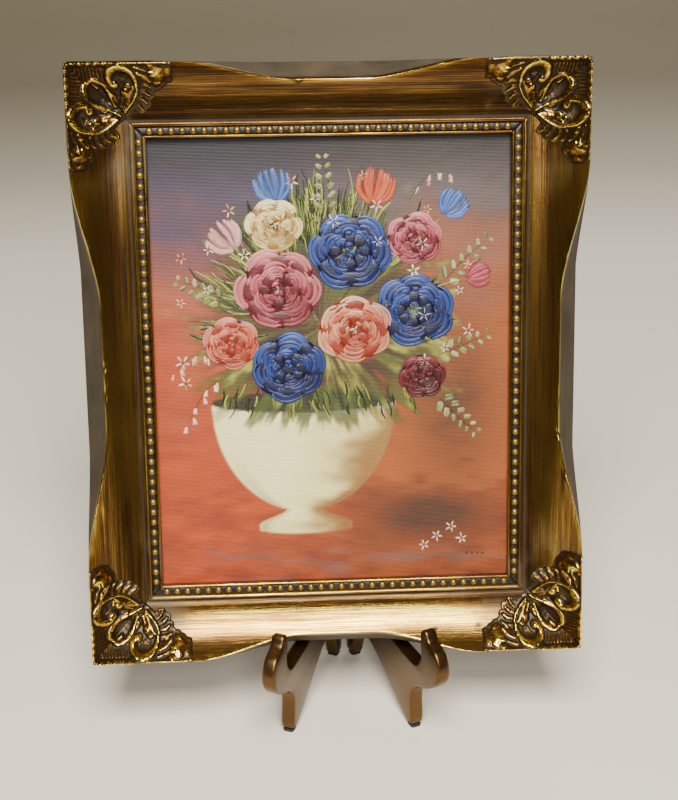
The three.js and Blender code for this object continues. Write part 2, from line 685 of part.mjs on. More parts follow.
function easelHalf(side) {
  const geometry = new THREE.ExtrudeGeometry(plateOutline(), {
    depth: PLATE_THICKNESS - 2 * PLATE_ROUNDING,
    bevelThickness: PLATE_ROUNDING,
    bevelSize: PLATE_ROUNDING,
    bevelOffset: -PLATE_ROUNDING,
    bevelSegments: 1,
    curveSegments: 3,
  });
  geometry.translate(0, 0, side < 0 ? PLATE_ROUNDING - PLATE_THICKNESS : PLATE_ROUNDING);
  geometry.applyMatrix4(plateBasis(side));
  const hole = uprightBar(PIN_RADIUS + PIN_CLEARANCE, 0, 2 * EASEL_HEIGHT);
  const solid = solidOf(geometry).subtract(knuckleRoom(side)).add(knuckles(side)).subtract(hole);
  return piece(side < 0 ? "easel_left" : "easel_right", geometryOf(solid), "bronze");
}

function hingePin() {
  const top = KNUCKLE_START + KNUCKLE_COUNT * KNUCKLE_HEIGHT;
  const pin = uprightBar(PIN_RADIUS, KNUCKLE_START, top, 8);
  return piece("hinge_pin", geometryOf(pin), "steel");
}

// A rubber pad under one foot.
function footPad(side, rear) {
  const length = LEG_WIDTH - 2 * PAD_INSET;
  const width = PLATE_THICKNESS - 2 * PAD_INSET;
  const pad = new THREE.BoxGeometry(length, PAD_THICKNESS, width);
  const middle = rear ? PLATE_LENGTH - LEG_WIDTH / 2 : LEG_WIDTH / 2;
  pad.translate(middle, PAD_THICKNESS / 2, (side * PLATE_THICKNESS) / 2);
  pad.applyMatrix4(plateBasis(side));
  const name = `foot_pad_${rear ? "rear" : "front"}_${side < 0 ? "left" : "right"}`;
  return piece(name, geometryOf(solidOf(pad)), "rubber");
}

function easel() {
  const group = new THREE.Group();
  for (const side of [-1, 1]) {
    group.add(easelHalf(side), footPad(side, false), footPad(side, true));
  }
  group.add(hingePin());
  return group;
}

// The frame stands on the notch floor with its back against the two plates' inner edges.
function assembly() {
  const root = new THREE.Group();
  const stand = easel();
  const panel = framedPanel();
  panel.rotation.x = Math.PI / 2 - LEAN;
  panel.position.set(
    -EASEL_OFFSET,
    NOTCH_BACK * Math.cos(OPEN_ANGLE) - TOUCH_GAP,
    SHELF_HEIGHT + TOUCH_GAP,
  );
  root.add(stand, panel);
  root.updateMatrixWorld(true);
  const box = new THREE.Box3().setFromObject(root, true);
  const middle = box.getCenter(new THREE.Vector3());
  for (const group of [stand, panel]) {
    group.position.sub(new THREE.Vector3(middle.x, middle.y, box.min.z));
  }
  return root;
}

export default assembly();
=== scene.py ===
import math

import bpy
import numpy as np
from mathutils import Matrix, Vector
from mathutils.geometry import tessellate_polygon


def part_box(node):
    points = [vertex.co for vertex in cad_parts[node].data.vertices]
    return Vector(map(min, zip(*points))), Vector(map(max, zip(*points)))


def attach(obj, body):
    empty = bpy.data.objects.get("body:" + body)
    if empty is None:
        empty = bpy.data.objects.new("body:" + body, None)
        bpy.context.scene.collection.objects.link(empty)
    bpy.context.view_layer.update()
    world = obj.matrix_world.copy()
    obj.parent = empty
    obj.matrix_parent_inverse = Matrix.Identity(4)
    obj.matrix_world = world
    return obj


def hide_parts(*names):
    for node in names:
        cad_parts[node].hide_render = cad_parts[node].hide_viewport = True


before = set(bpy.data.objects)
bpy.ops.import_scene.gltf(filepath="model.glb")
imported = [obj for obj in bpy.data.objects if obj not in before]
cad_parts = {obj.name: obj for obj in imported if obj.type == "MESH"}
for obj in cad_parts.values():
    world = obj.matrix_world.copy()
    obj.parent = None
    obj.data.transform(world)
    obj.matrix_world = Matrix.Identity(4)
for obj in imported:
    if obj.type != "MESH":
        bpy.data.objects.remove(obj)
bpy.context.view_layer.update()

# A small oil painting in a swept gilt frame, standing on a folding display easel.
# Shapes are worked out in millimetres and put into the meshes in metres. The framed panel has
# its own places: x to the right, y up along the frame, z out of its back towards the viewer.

MM = 0.001
BODY = "root"

# The moulding, counted outward from the sight edge
RAIL_WIDTH = 38.0
FRAME_DEPTH = 32.0
RABBET_LIP = 7.2
RABBET_DEPTH = 11.0
SIGHT_HEIGHT = 15.6
SIGHT_WIDTH = 190.0
SIGHT_LENGTH = 240.8
LIP_WIDTH = 1.5
CHANNEL_END = 5.9
CHANNEL_FLOOR = 14.0
FILLET_END = 8.2
FILLET_RISE = 0.5
BAND_START = 8.9
BAND_FLOOR = 14.2
SCOOP_START = 11.9
SCOOP_FLOOR = 15.0
SCOOP_FIRST_SLOPE = 0.12
SCOOP_POWER = 2.3
BEVEL_LEAN = math.radians(30)
BEVEL_FOOT = 2.5
SIDE_SWEEP = (12.0, 48.0, 77.0)
END_SWEEP = (9.2, 55.0, 58.0)
OUTER_WIDTH = SIGHT_WIDTH + 2 * RAIL_WIDTH
OUTER_HEIGHT = SIGHT_LENGTH + 2 * RAIL_WIDTH
BEAD_RADIUS = 1.95
BEAD_PITCH = 5.7
CANVAS_WIDTH = 203.2
CANVAS_HEIGHT = 254.0
CANVAS_THICKNESS = 4.0
CANVAS_FRONT = RABBET_DEPTH - 0.3

# The easel's plates, counted back from the front foot
LEAN = math.radians(15)
OPEN_ANGLE = math.radians(22.5)
PLATE_THICKNESS = 8.0
PLATE_ROUNDING = 2.2
PLATE_LENGTH = 84.0
EASEL_HEIGHT = 151.0
SHELF_HEIGHT = 47.0
NOTCH_BACK = 29.4
NOTCH_FRONT = 5.7
SPINE_GAP = 1.1
TOP_WIDTH = 17.0
LEG_WIDTH = 8.0
ARCH_HEIGHT = 27.0
ARCH_APEX = 60.5
PAD_THICKNESS = 1.6
FOOT_START = PAD_THICKNESS + 0.3
PIN_RADIUS = 1.3
KNUCKLE_RADIUS = 3.6
KNUCKLE_BACKSET = 4.2
KNUCKLE_HEIGHT = 12.0
KNUCKLE_COUNT = 6
KNUCKLE_START = 66.0

# The hook as (back, up from the shelf): its belly from the front foot, its tip from the notch
HOOK_BELLY = ((1.2, -24.5), (-2.6, -16), (-15, -8.5), (-24.5, 0), (-27, 9), (-22.5, 18))
HOOK_TIP = ((-7.8, 21.6), (-5.6, 25.4), (-2.6, 26.6), (0, 24.4), (0, 17), (-1.4, 10), (1, 3))

rail_top_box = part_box("rail_top")
PANEL_X = (rail_top_box[0][0] + rail_top_box[1][0]) / 2
PANEL_Y = rail_top_box[1][1] - OUTER_HEIGHT * math.sin(LEAN) * MM
PANEL_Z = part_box("rail_bottom")[0][2]
left_box, right_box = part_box("easel_left"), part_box("easel_right")
EASEL_X = (left_box[0][0] + right_box[1][0]) / 2
FOOT_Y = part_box("foot_pad_front_left")[0][1] - 0.8 * MM * (math.cos(OPEN_ANGLE) + math.sin(OPEN_ANGLE))


def panel_to_world(p):
    """Leans a place of the framed panel back and stands it in the easel."""
    x, y, z = (np.asarray(p, float)[..., i] * MM for i in range(3))
    sin, cos = math.sin(LEAN), math.cos(LEAN)
    return np.stack([PANEL_X + x, PANEL_Y + y * sin - z * cos, PANEL_Z + y * cos + z * sin], -1)


def smooth(t):
    """3t^2 - 2t^3 between 0 and 1, flat outside."""
    t = np.clip(t, 0, 1)
    return t * t * (3 - 2 * t)


def fall(t):
    return 1 - smooth(t)


def bell(t):
    return np.exp(-(t**2))


def mix(a, b, t):
    return a + (b - a) * t


def tint(a, b, share):
    """Mixes two colours by a share for each point."""
    return mix(a, b, share[..., None])


def way(aim):
    """The unit vector at an angle."""
    return np.stack([np.cos(aim), np.sin(aim)], -1)


def rippled(u, v, scale, seed, octaves=3):
    """A soft random field: a lattice of seeded values, joined by smooth steps, summed in octaves."""
    total, weight = np.zeros(np.broadcast(u, v).shape), 0.0
    for k in range(octaves):
        s = scale / 2**k
        table = np.random.default_rng(seed + k).random((64, 64))
        iu, iv = np.floor(u / s).astype(int), np.floor(v / s).astype(int)
        fu, fv = smooth(u / s - iu), smooth(v / s - iv)
        corner = [table[(iu + i) % 64, (iv + j) % 64] for i in (0, 1) for j in (0, 1)]
        total += mix(mix(corner[0], corner[1], fv), mix(corner[2], corner[3], fv), fu) / 2**k
        weight += 1 / 2**k
    return total / weight


def blur(field, cells):
    """Gaussian blur of a grid, by its Fourier transform."""
    fu = np.fft.fftfreq(field.shape[0])[:, None]
    fv = np.fft.rfftfreq(field.shape[1])[None]
    gauss = np.exp(-2 * (np.pi * cells) ** 2 * (fu**2 + fv**2))
    return np.fft.irfft2(np.fft.rfft2(field) * gauss, field.shape)


def along_line(points, count, closed=False):
    """`count` points spread evenly over a polyline."""
    points = np.asarray(points, float)
    if closed:
        points = np.vstack([points, points[:1]])
    run = np.concatenate([[0], np.cumsum(np.linalg.norm(np.diff(points, axis=0), axis=1))])
    at = np.linspace(0, run[-1], count, endpoint=not closed)
    return np.stack([np.interp(at, run, points[:, k]) for k in range(points.shape[1])], -1)


def curve_through(points, count):
    """A uniform Catmull-Rom curve through the points."""
    p = np.asarray(points, float)
    p = np.vstack([p[:1], p, p[-1:]])
    at = np.linspace(0, len(points) - 1, count)
    i = np.minimum(at.astype(int), len(points) - 2)
    t = (at - i)[:, None]
    a, b, c, d = p[i], p[i + 1], p[i + 2], p[i + 3]
    return 0.5 * (2 * b + (c - a) * t + (2 * a - 5 * b + 4 * c - d) * t**2 + (3 * b - a - 3 * c + d) * t**3)


def bezier(p0, p1, p2, p3, count):
    t = np.linspace(0, 1, count)[:, None]
    p0, p1, p2, p3 = (np.asarray(p, float) for p in (p0, p1, p2, p3))
    return (1 - t) ** 3 * p0 + 3 * (1 - t) ** 2 * t * p1 + 3 * (1 - t) * t**2 * p2 + t**3 * p3


def grid_faces(rows, columns, wrap=False):
    """The quads of a grid of points, closed along its columns if `wrap`."""
    r, c = np.meshgrid(np.arange(rows - 1), np.arange(columns if wrap else columns - 1), indexing="ij")
    nxt = (c + 1) % columns
    quads = np.stack([r * columns + c, r * columns + nxt, (r + 1) * columns + nxt, (r + 1) * columns + c], -1)
    return quads.reshape(-1, 4)


def grid_rim(rows, columns):
    """The points around a grid, in order from its first."""
    ends = np.arange(columns), np.arange(columns - 2, -1, -1) + (rows - 1) * columns
    sides = np.arange(1, rows) * columns + columns - 1, np.arange(rows - 2, 0, -1) * columns
    return np.concatenate([ends[0], sides[0], ends[1], sides[1]])


class Shape:
    """Points, faces and named point values that grow part by part and become one mesh."""

    def __init__(self):
        self.points, self.faces, self.slots, self.values, self.count = [], [], [], {}, 0

    def add(self, points, faces, slot=0, **values):
        points = np.asarray(points, float).reshape(-1, 3)
        for face in faces:
            self.faces.append([int(i) + self.count for i in face])
            self.slots.append(slot)
        for name, value in values.items():
            self.values.setdefault(name, []).append((self.count, np.asarray(value, float)))
        self.points.append(points)
        self.count += len(points)
        return self

    def piece(self, name, materials, slot, replaces=()):
        mesh = bpy.data.meshes.new(name)
        mesh.from_pydata(np.concatenate(self.points).tolist(), [], self.faces)
        mesh.polygons.foreach_set("use_smooth", [True] * len(self.faces))
        mesh.polygons.foreach_set("material_index", self.slots)
        for key, stretches in self.values.items():
            width = stretches[0][1].shape[-1] if stretches[0][1].ndim > 1 else 1
            kind = {1: "FLOAT", 3: "FLOAT_VECTOR", 4: "FLOAT_COLOR"}[width]
            data = np.zeros((self.count, width))
            for start, value in stretches:
                data[start : start + len(value)] = value.reshape(-1, width)
            field = {1: "value", 3: "vector", 4: "color"}[width]
            mesh.attributes.new(key, kind, "POINT").data.foreach_set(field, data.ravel())
        for material in materials:
            mesh.materials.append(material)
        mesh.update()
        obj = bpy.data.objects.new(name, mesh)
        bpy.context.scene.collection.objects.link(obj)
        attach(obj, BODY)
        if replaces:
            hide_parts(*replaces)
        return obj


class Finish:
    """A node material in the making: each call adds one node and gives its output."""

    def __init__(self, name, roughness=0.5, metallic=0.0):
        self.material = bpy.data.materials.new(name)
        self.material.use_nodes = True
        self.tree = self.material.node_tree
        self.shader = self.tree.nodes["Principled BSDF"]
        self.shader.inputs["Roughness"].default_value = roughness
        self.shader.inputs["Metallic"].default_value = metallic

    def fill(self, socket, value):
        """Links an output to a socket, or sets the socket to a plain value."""
        if isinstance(value, bpy.types.NodeSocket):
            self.tree.links.new(value, socket)
        else:
            socket.default_value = value

    def node(self, kind, inputs=(), **settings):
        made = self.tree.nodes.new(kind)
        for key, value in settings.items():
            setattr(made, key, value)
        for key, value in dict(inputs).items():
            self.fill(made.inputs[key], value)
        return made

    def attribute(self, name, output="Fac"):
        return self.node("ShaderNodeAttribute", attribute_name=name).outputs[output]

    def mapped(self, vector=None, scale=(1, 1, 1), turn=(0, 0, 0)):
        """Object coordinates, or another vector, stretched and turned."""
        vector = vector or self.node("ShaderNodeTexCoord").outputs["Object"]
        inputs = {"Vector": vector, "Scale": scale, "Rotation": turn}
        return self.node("ShaderNodeMapping", inputs).outputs["Vector"]

    def noise(self, scale, detail, rough, vector=None):
        """Noise of one scale, or of three different ones along the axes."""
        stretch, scale = (scale, 1.0) if np.ndim(scale) else ((1, 1, 1), scale)
        vector = self.mapped(vector, stretch)
        inputs = {"Vector": vector, "Scale": scale, "Detail": detail, "Roughness": rough}
        return self.node("ShaderNodeTexNoise", inputs).outputs["Fac"]

    def ramp(self, value, *stops):
        made = self.node("ShaderNodeValToRGB", {"Fac": value})
        elements = made.color_ramp.elements
        while len(elements) < len(stops):
            elements.new(0.5)
        for element, (at, colour) in zip(elements, stops):
            element.position = at
            element.color = (*colour, 1) if np.ndim(colour) else (colour, colour, colour, 1)
        return made.outputs["Color"]

    def blend(self, share, a, b, kind="MIX"):
        made = self.node("ShaderNodeMix", data_type="RGBA", blend_type=kind)
        self.fill(made.inputs[0], share)
        for index, value in ((6, a), (7, b)):
            self.fill(made.inputs[index], (*value, 1) if isinstance(value, tuple) else value)
        return made.outputs[2]

    def math(self, operation, a, b=0.0):
        return self.node("ShaderNodeMath", {0: a, 1: b}, operation=operation).outputs[0]

    def total(self, *parts, start=0.0):
        """The start value plus each part's value times its share."""
        for value, share in parts:
            start = self.math("ADD", start, self.math("MULTIPLY", value, share))
        return start

    def set(self, **sockets):
        for socket, value in sockets.items():
            self.tree.links.new(value, self.shader.inputs[socket.replace("_", " ")])

    def bump(self, height, strength, distance):
        """The last step: a bump of a distance in millimetres, and the material is done."""
        inputs = {"Height": height, "Strength": strength, "Distance": distance * MM}
        self.set(Normal=self.node("ShaderNodeBump", inputs).outputs["Normal"])
        return self.material


# Finishes. Colours are linear.
BROWN = (0.022, 0.010, 0.003)
GOLD = (0.35, 0.195, 0.040)
DEEP_GOLD = (0.098, 0.044, 0.012)
PALE_GOLD = (0.90, 0.76, 0.13)
BOLE = (0.19, 0.05, 0.02)
PUTTY = (0.105, 0.085, 0.050)
BEAD_DIRT_AND_SHADE, UMBER = (0.008, 0.005, 0.003), (0.038, 0.026, 0.011)
OLIVE, BEAD_GOLD = (0.070, 0.045, 0.014), (0.34, 0.225, 0.065)
CAST_DIRT_AND_SHADE, CAST_BROWN = (0.008, 0.0045, 0.002), (0.042, 0.022, 0.008)
WOOD_DARK, WOOD_LIGHT, WOOD_STAIN = (0.30, 0.18, 0.085), (0.48, 0.31, 0.16), (0.20, 0.11, 0.05)
BOARD_DARK, BOARD_LIGHT, BOARD_STAIN = (0.17, 0.10, 0.05), (0.27, 0.17, 0.09), (0.12, 0.07, 0.035)
BRONZE_DARK, BRONZE, FLAKE = (0.060, 0.030, 0.010), (0.112, 0.060, 0.020), (0.50, 0.32, 0.15)
RUBBER_DARK, RUBBER = (0.008, 0.008, 0.008), (0.03, 0.028, 0.025)
STEEL_DARK, STEEL = (0.30, 0.30, 0.29), (0.56, 0.56, 0.54)
BRASS_DARK, BRASS = (0.34, 0.22, 0.08), (0.66, 0.47, 0.20)
# The backdrop's greys from the front to the back, ever darker as painted shade
BACKDROP_WITH_PAINTED_FALLOFF = (0.93, 0.875, 0.77), (0.56, 0.51, 0.42), (0.38, 0.34, 0.26), (0.24, 0.21, 0.15)
THREADS = {"Scale": 430, "Distortion": 2.2, "Detail": 3}


def gilt_rail_finish():
    """Gold leaf rubbed thin in long streaks over dark brown, with grey patina in the hollows. The lightness
    given per point also holds painted light: a painted shadow in the quirk, painted shade on the top rail and
    a painted highlight in the middle of the bottom rail's scoop.
    """
    f = Finish("streaked_gilt")
    moulding = f.attribute("moulding", "Vector")
    streaks = f.noise((14, 900, 1), 6, 0.7, moulding)
    broad = f.noise((5, 110, 1), 4, 0.6, moulding)
    hairs = f.noise((40, 2600, 1), 3, 0.6, moulding)
    specks = f.noise((260, 900, 1), 3, 0.7, moulding)
    blots = f.noise(45, 5, 0.65)
    # How far the gilding is rubbed, together with painted shade and a painted highlight
    rub = f.attribute("rub")
    mottle = f.total((streaks, 0.5), (broad, 0.28), (hairs, 0.24), (rub, 0.2), start=-0.1)
    gold = f.ramp(mottle, (0.39, BROWN), (0.47, DEEP_GOLD), (0.58, GOLD), (0.72, PALE_GOLD))
    red = f.ramp(f.total((blots, 1), (specks, 0.25)), (0.72, 0.0), (0.82, 0.28))
    grey = f.math("MULTIPLY", f.attribute("patina"), f.ramp(blots, (0.3, 0.35), (0.6, 1.0)))
    f.set(Base_Color=f.blend(grey, f.blend(red, gold, BOLE), PUTTY))
    shine = f.ramp(mottle, (0.24, 0.0), (0.38, 0.75), (0.5, 0.9), (0.6, 1.0))
    f.set(Metallic=f.math("MULTIPLY", shine, f.total((grey, -0.85), start=1)))
    rough = f.ramp(mottle, (0.24, 0.75), (0.38, 0.30), (0.6, 0.19))
    f.set(Roughness=f.total((rough, 1), (grey, 0.25)))
    return f.bump(f.total((streaks, 1), (specks, 0.3), (hairs, 0.3)), 0.5, 0.22)


def raw_wood_finish():
    """Plain pale softwood with a fine grain along the rail, for the back and the rabbet."""
    f = Finish("raw_wood", roughness=0.7)
    grain = f.noise((10, 420, 60), 5, 0.6, f.attribute("moulding", "Vector"))
    wood = f.ramp(grain, (0.35, WOOD_DARK), (0.65, WOOD_LIGHT))
    f.set(Base_Color=f.blend(f.total((f.noise(12, 3, 0.5), 0.5)), wood, WOOD_STAIN))
    return f.bump(grain, 0.4, 0.15)


def beading_finish():
    """Olive gold on the tops of the beads, brown and near black low down on them and on the strip between
    them: dirt together with painted shade.
    """
    f = Finish("bead_gilt", roughness=0.42)
    blots = f.noise(160, 4, 0.6)
    level = f.total((f.attribute("top"), 1), (blots, 0.6), start=-0.3)
    f.set(Base_Color=f.ramp(level, (0.02, BEAD_DIRT_AND_SHADE), (0.16, UMBER), (0.28, OLIVE), (0.85, BEAD_GOLD)))
    f.set(Metallic=f.ramp(level, (0.3, 0.1), (0.6, 0.95)))
    return f.bump(blots, 0.35, 0.12)


def ornament_finish():
    """Gilt on the high parts of the casting, brown and near black in its hollows as dirt and painted shade,
    and putty on its open floors.
    """
    f = Finish("cast_gilt")
    blots, broad = f.noise(130, 5, 0.65), f.noise(38, 3, 0.6)
    wear_and_shade = f.total((f.attribute("high"), 1), (blots, 0.55), start=-0.275)
    gold = f.ramp(wear_and_shade, (0.28, CAST_DIRT_AND_SHADE), (0.50, CAST_BROWN), (0.67, GOLD), (0.86, PALE_GOLD))
    low = f.ramp(f.attribute("level"), (0.1, 1.0), (0.4, 0.0))
    floor = f.math("MULTIPLY", low, f.ramp(broad, (0.42, 0.0), (0.58, 0.75)))
    f.set(Base_Color=f.blend(floor, gold, PUTTY))
    f.set(Metallic=f.ramp(wear_and_shade, (0.35, 0.4), (0.6, 1.0)))
    f.set(Roughness=f.ramp(wear_and_shade, (0.3, 0.45), (0.65, 0.24)))
    return f.bump(blots, 0.3, 0.18)


def paint_finish(name, weave, gloss):
    """Oil paint by its own colours, over the canvas's threads. The upright ones show less."""
    f = Finish(name, roughness=gloss)
    plane = f.mapped(turn=(LEAN, 0, 0))
    upright, level = (
        f.node("ShaderNodeTexWave", {"Vector": plane, **THREADS}, bands_direction=axis).outputs["Fac"]
        for axis in ("X", "Z")
    )
    cloth = f.math("MULTIPLY", f.total((upright, 0.4), start=0.6), level)
    slub = f.noise(900, 2, 0.5)
    shade = f.ramp(f.total((cloth, 1), (slub, 0.4)), (0.1, 1.0 - 0.3 * weave), (0.8, 1.0))
    f.set(Base_Color=f.blend(1.0, f.attribute("paint", "Color"), shade, "MULTIPLY"))
    return f.bump(f.math("ADD", cloth, slub), 0.65 * weave, 0.14)


def board_finish():
    """Brown hardboard with a fine pressed mesh, for the back of the panel."""
    f = Finish("board_back", roughness=0.8)
    fibre = f.noise(320, 5, 0.7)
    board = f.ramp(fibre, (0.35, BOARD_DARK), (0.65, BOARD_LIGHT))
    f.set(Base_Color=f.blend(f.total((f.noise(14, 4, 0.6), 0.4)), board, BOARD_STAIN))
    return f.bump(fibre, 0.4, 0.15)


def bronze_finish():
    """Satin bronze paint with fine metal flake and a little rubbing."""
    f = Finish("satin_bronze", metallic=0.9)
    flake, cloud = f.noise(2400, 2, 0.5), f.noise(26, 4, 0.55)
    base = f.ramp(cloud, (0.3, BRONZE_DARK), (0.7, BRONZE))
    f.set(Base_Color=f.blend(f.ramp(flake, (0.45, 0.0), (0.75, 0.20)), base, FLAKE))
    f.set(Roughness=f.ramp(f.total((cloud, 1), (flake, 0.3)), (0.4, 0.25), (0.85, 0.38)))
    return f.bump(flake, 0.12, 0.05)


def rubber_finish():
    f = Finish("foot_rubber", roughness=0.8)
    grain = f.noise(1500, 3, 0.6)
    f.set(Base_Color=f.ramp(grain, (0.3, RUBBER_DARK), (0.7, RUBBER)))
    return f.bump(grain, 0.3, 0.05)


def metal_finish(name, dark, light, roughness):
    """Plain stamped metal with fine scratches and dull spots."""
    f = Finish(name, metallic=1.0)
    lines = f.noise((60, 60, 900), 4, 0.6)
    f.set(Base_Color=f.ramp(f.noise(220, 4, 0.6), (0.35, dark), (0.6, light)))
    f.set(Roughness=f.ramp(lines, (0.35, roughness - 0.08), (0.65, roughness + 0.12)))
    return f.bump(lines, 0.2, 0.03)


# Moulding


def scoop_height(across):
    """Height of the hollow front: nearly flat at the band, ever steeper towards the ridge."""
    t = np.clip((across - SCOOP_START) / (RAIL_WIDTH - SCOOP_START), 0, 1)
    bend = SCOOP_FIRST_SLOPE * t + (1 - SCOOP_FIRST_SLOPE) * t**SCOOP_POWER
    return SCOOP_FLOOR + (FRAME_DEPTH - SCOOP_FLOOR) * bend


INNER_POINTS, SCOOP_POINTS, BEVEL_POINTS = 64, 44, 18
FRONT_POINTS = INNER_POINTS + SCOOP_POINTS + BEVEL_POINTS
BACK_EASE = 0.6


def rail_rings(length, sweep, stations):
    """The rail's section at every station, as (across, height) and the share of the length.

    The front follows the moulding's corners, evenly spread and rounded by averaging each point
    with its neighbours. The ridge draws in by depth * smooth((q - start) / reach), q being the
    distance from the outer corner, and a bevel leaning BEVEL_LEAN cuts the side below it.
    """
    depth, start, reach = sweep
    outer = length / 2 + RAIL_WIDTH
    share = np.linspace(-1, 1, stations)
    inset = depth * smooth((outer * (1 - np.abs(share)) - start) / reach)
    corners = [
        (RABBET_LIP - 1, RABBET_DEPTH), (0, RABBET_DEPTH), (0, SIGHT_HEIGHT - 0.5), (0.7, SIGHT_HEIGHT),
        (LIP_WIDTH, SIGHT_HEIGHT), (LIP_WIDTH + 0.1, CHANNEL_FLOOR), (CHANNEL_END - 0.1, CHANNEL_FLOOR),
        (CHANNEL_END + 0.1, SIGHT_HEIGHT - 0.2), (CHANNEL_END + 1.1, SIGHT_HEIGHT + FILLET_RISE + 0.1),
        (FILLET_END - 0.1, SIGHT_HEIGHT + FILLET_RISE - 0.1), (FILLET_END + 0.3, BAND_FLOOR),
        (BAND_START, BAND_FLOOR - 0.1), (SCOOP_START, SCOOP_FLOOR),
    ]
    inner = np.broadcast_to(along_line(corners, INNER_POINTS), (stations, INNER_POINTS, 2))
    ridge = RAIL_WIDTH - inset
    t = np.linspace(0, 1, SCOOP_POINTS + 1)[1:]
    across = SCOOP_START + (ridge[:, None] - SCOOP_START) * t
    scoop = np.stack([across, scoop_height(across)], -1)
    foot = np.maximum(scoop_height(ridge) - inset / math.tan(BEVEL_LEAN), BEVEL_FOOT)
    t = np.linspace(0, 1, BEVEL_POINTS + 1)[1:]
    side_across = ridge[:, None] + inset[:, None] * t
    side_height = scoop_height(ridge)[:, None] * (1 - t) + foot[:, None] * t
    bevel = np.stack([side_across, side_height], -1)
    back = [(RAIL_WIDTH, BACK_EASE), (RAIL_WIDTH - BACK_EASE, 0), (RABBET_LIP, 0), (RABBET_LIP, RABBET_DEPTH)]
    back = np.broadcast_to(back, (stations, len(back), 2))
    rings = np.concatenate([inner, scoop, bevel, back], 1)
    for _ in range(2):
        before, middle, after = (rings[:, k : FRONT_POINTS - 2 + k] for k in range(3))
        rings[:, 1 : FRONT_POINTS - 1] = middle / 2 + (before + after) / 4
    return rings, share, inset


def rail_place(side, along, across, height):
    """A place on the top, left, bottom or right rail (side 0 to 3), in the framed panel."""
    half = SIGHT_LENGTH / 2 if side % 2 == 0 else SIGHT_WIDTH / 2
    turn = side * math.pi / 2
    sin, cos = round(math.sin(turn)), round(math.cos(turn))
    out = across + half
    x = along * cos - out * sin
    y = along * sin + out * cos + OUTER_HEIGHT / 2
    return panel_to_world(np.stack(np.broadcast_arrays(x, y, height), -1))


# Knocks on the ridge of each rail: place along the rail, length and depth, in mm
KNOCKS = {
    0: ((-16, 3.0, 0.9), (58, 2.0, 0.5)),
    1: ((-12, 4.0, 0.7), (2, 2.0, 0.6), (64, 5.0, 0.5), (-95, 2.5, 0.5)),
    2: ((-92, 2.0, 0.5), (70, 3.0, 0.5)),
    3: ((62, 3.0, 0.6), (40, 2.0, 0.8), (20, 4.0, 0.5), (-55, 2.0, 0.4)),
}


# Rubbed spots on each rail: place along and across it, size along and across, in mm, and how
# much lighter (or darker, below zero) the gilding is there
MARKS = {
    0: ((-37, 18, 1.6, 0.5, 0.5), (20, 30, 1.4, 1.0, 0.6), (74, 24, 9, 2.0, -0.3)),
    1: ((-81, 18, 12, 2.6, -0.5), (-75, 30, 5, 0.9, 0.7), (8, 29, 6, 1.0, -0.6), (52, 14, 16, 2.0, -0.3)),
    2: ((-78, 27, 1.6, 0.9, -0.9), (-54, 28, 1.4, 0.8, -0.9), (34, 20, 10, 1.5, -0.25)),
    3: ((66, 29, 9, 1.0, -0.6), (-78, 31, 1.2, 1.0, 0.9), (-20, 16, 20, 2.0, -0.3)),
}


# How much lighter each rail's gilding is made: the top one darker as painted shade, and the middle of the
# bottom one's scoop lighter as a painted highlight
TOP_PAINTED_SHADE, BOTTOM_PAINTED_HIGHLIGHT = -0.2, 0.38
BOTTOM_HIGHLIGHT_BAND = (13, 17, 25, 31)
RAIL_STATIONS = {"level": 190, "upright": 230}
MITRE_GAP = 0.03
RIDGE_WEAR = 1.6
RIDGE_WAVER = 0.35
LIP_COLUMNS = 3


def rail_wear(side, along, across, height, share, ridge, on_ridge):
    """Patina from 0 to 1, and how light the gilding is, where 0.5 is even: how far it is rubbed, with painted
    light added.

    The channel, the corners and the bevel are grey or dark; ridge, lip and rubbed spots are light. The quirk
    is darkened as a painted shadow, the top rail as painted shade, and the middle of the bottom rail's scoop
    is lightened as a painted highlight.
    """
    patch = rippled(along + 900 * side, across, 30, 40 + side, 4)
    corner = smooth((0.42 - (1 - np.abs(share))) / 0.3)
    hollow = smooth((across - LIP_WIDTH) / 0.6) * fall((across - BAND_START) / 2.5)
    hollow = hollow * (height < SIGHT_HEIGHT + 0.2)
    # The quirk below the fillet, where a painted shadow goes and no patina
    quirk_shadow = smooth((across - FILLET_END + 0.1) / 0.4) * fall((across - BAND_START - 0.3) / 0.8)
    bevel = smooth(across - ridge - 0.5)
    lip = (across < CHANNEL_END + 3) & (height > SIGHT_HEIGHT - 0.4)
    dust = (0.75 * corner + 0.03) * smooth((patch - 0.45) / 0.25)
    patina = np.maximum(np.clip(0.3 * hollow * (1 - quirk_shadow) + dust, 0, 1), 0.5 * bevel)
    rub = 0.5 + 0.5 * on_ridge - 0.15 * corner + 0.25 * (patch - 0.5)
    # The lighter lip and darker bevel are the gilding's own; the darker quirk is a painted shadow
    rub = rub + 0.3 * lip - 1.2 * bevel - 1.6 * quirk_shadow
    for at, place, long, wide, tone in MARKS[side]:
        rub = rub + tone * bell((along - at) / long) * bell((across - place) / wide)
    # A painted highlight across the middle of the bottom rail's scoop, and painted shade over the whole top
    # rail
    low, full, fade, end = BOTTOM_HIGHLIGHT_BAND
    painted_highlight = smooth((across - low) / (full - low)) * fall((across - fade) / (end - fade)) * (1 - corner)
    return patina, np.clip(rub + (TOP_PAINTED_SHADE, 0, BOTTOM_PAINTED_HIGHLIGHT * painted_highlight, 0)[side], -1, 1.8)


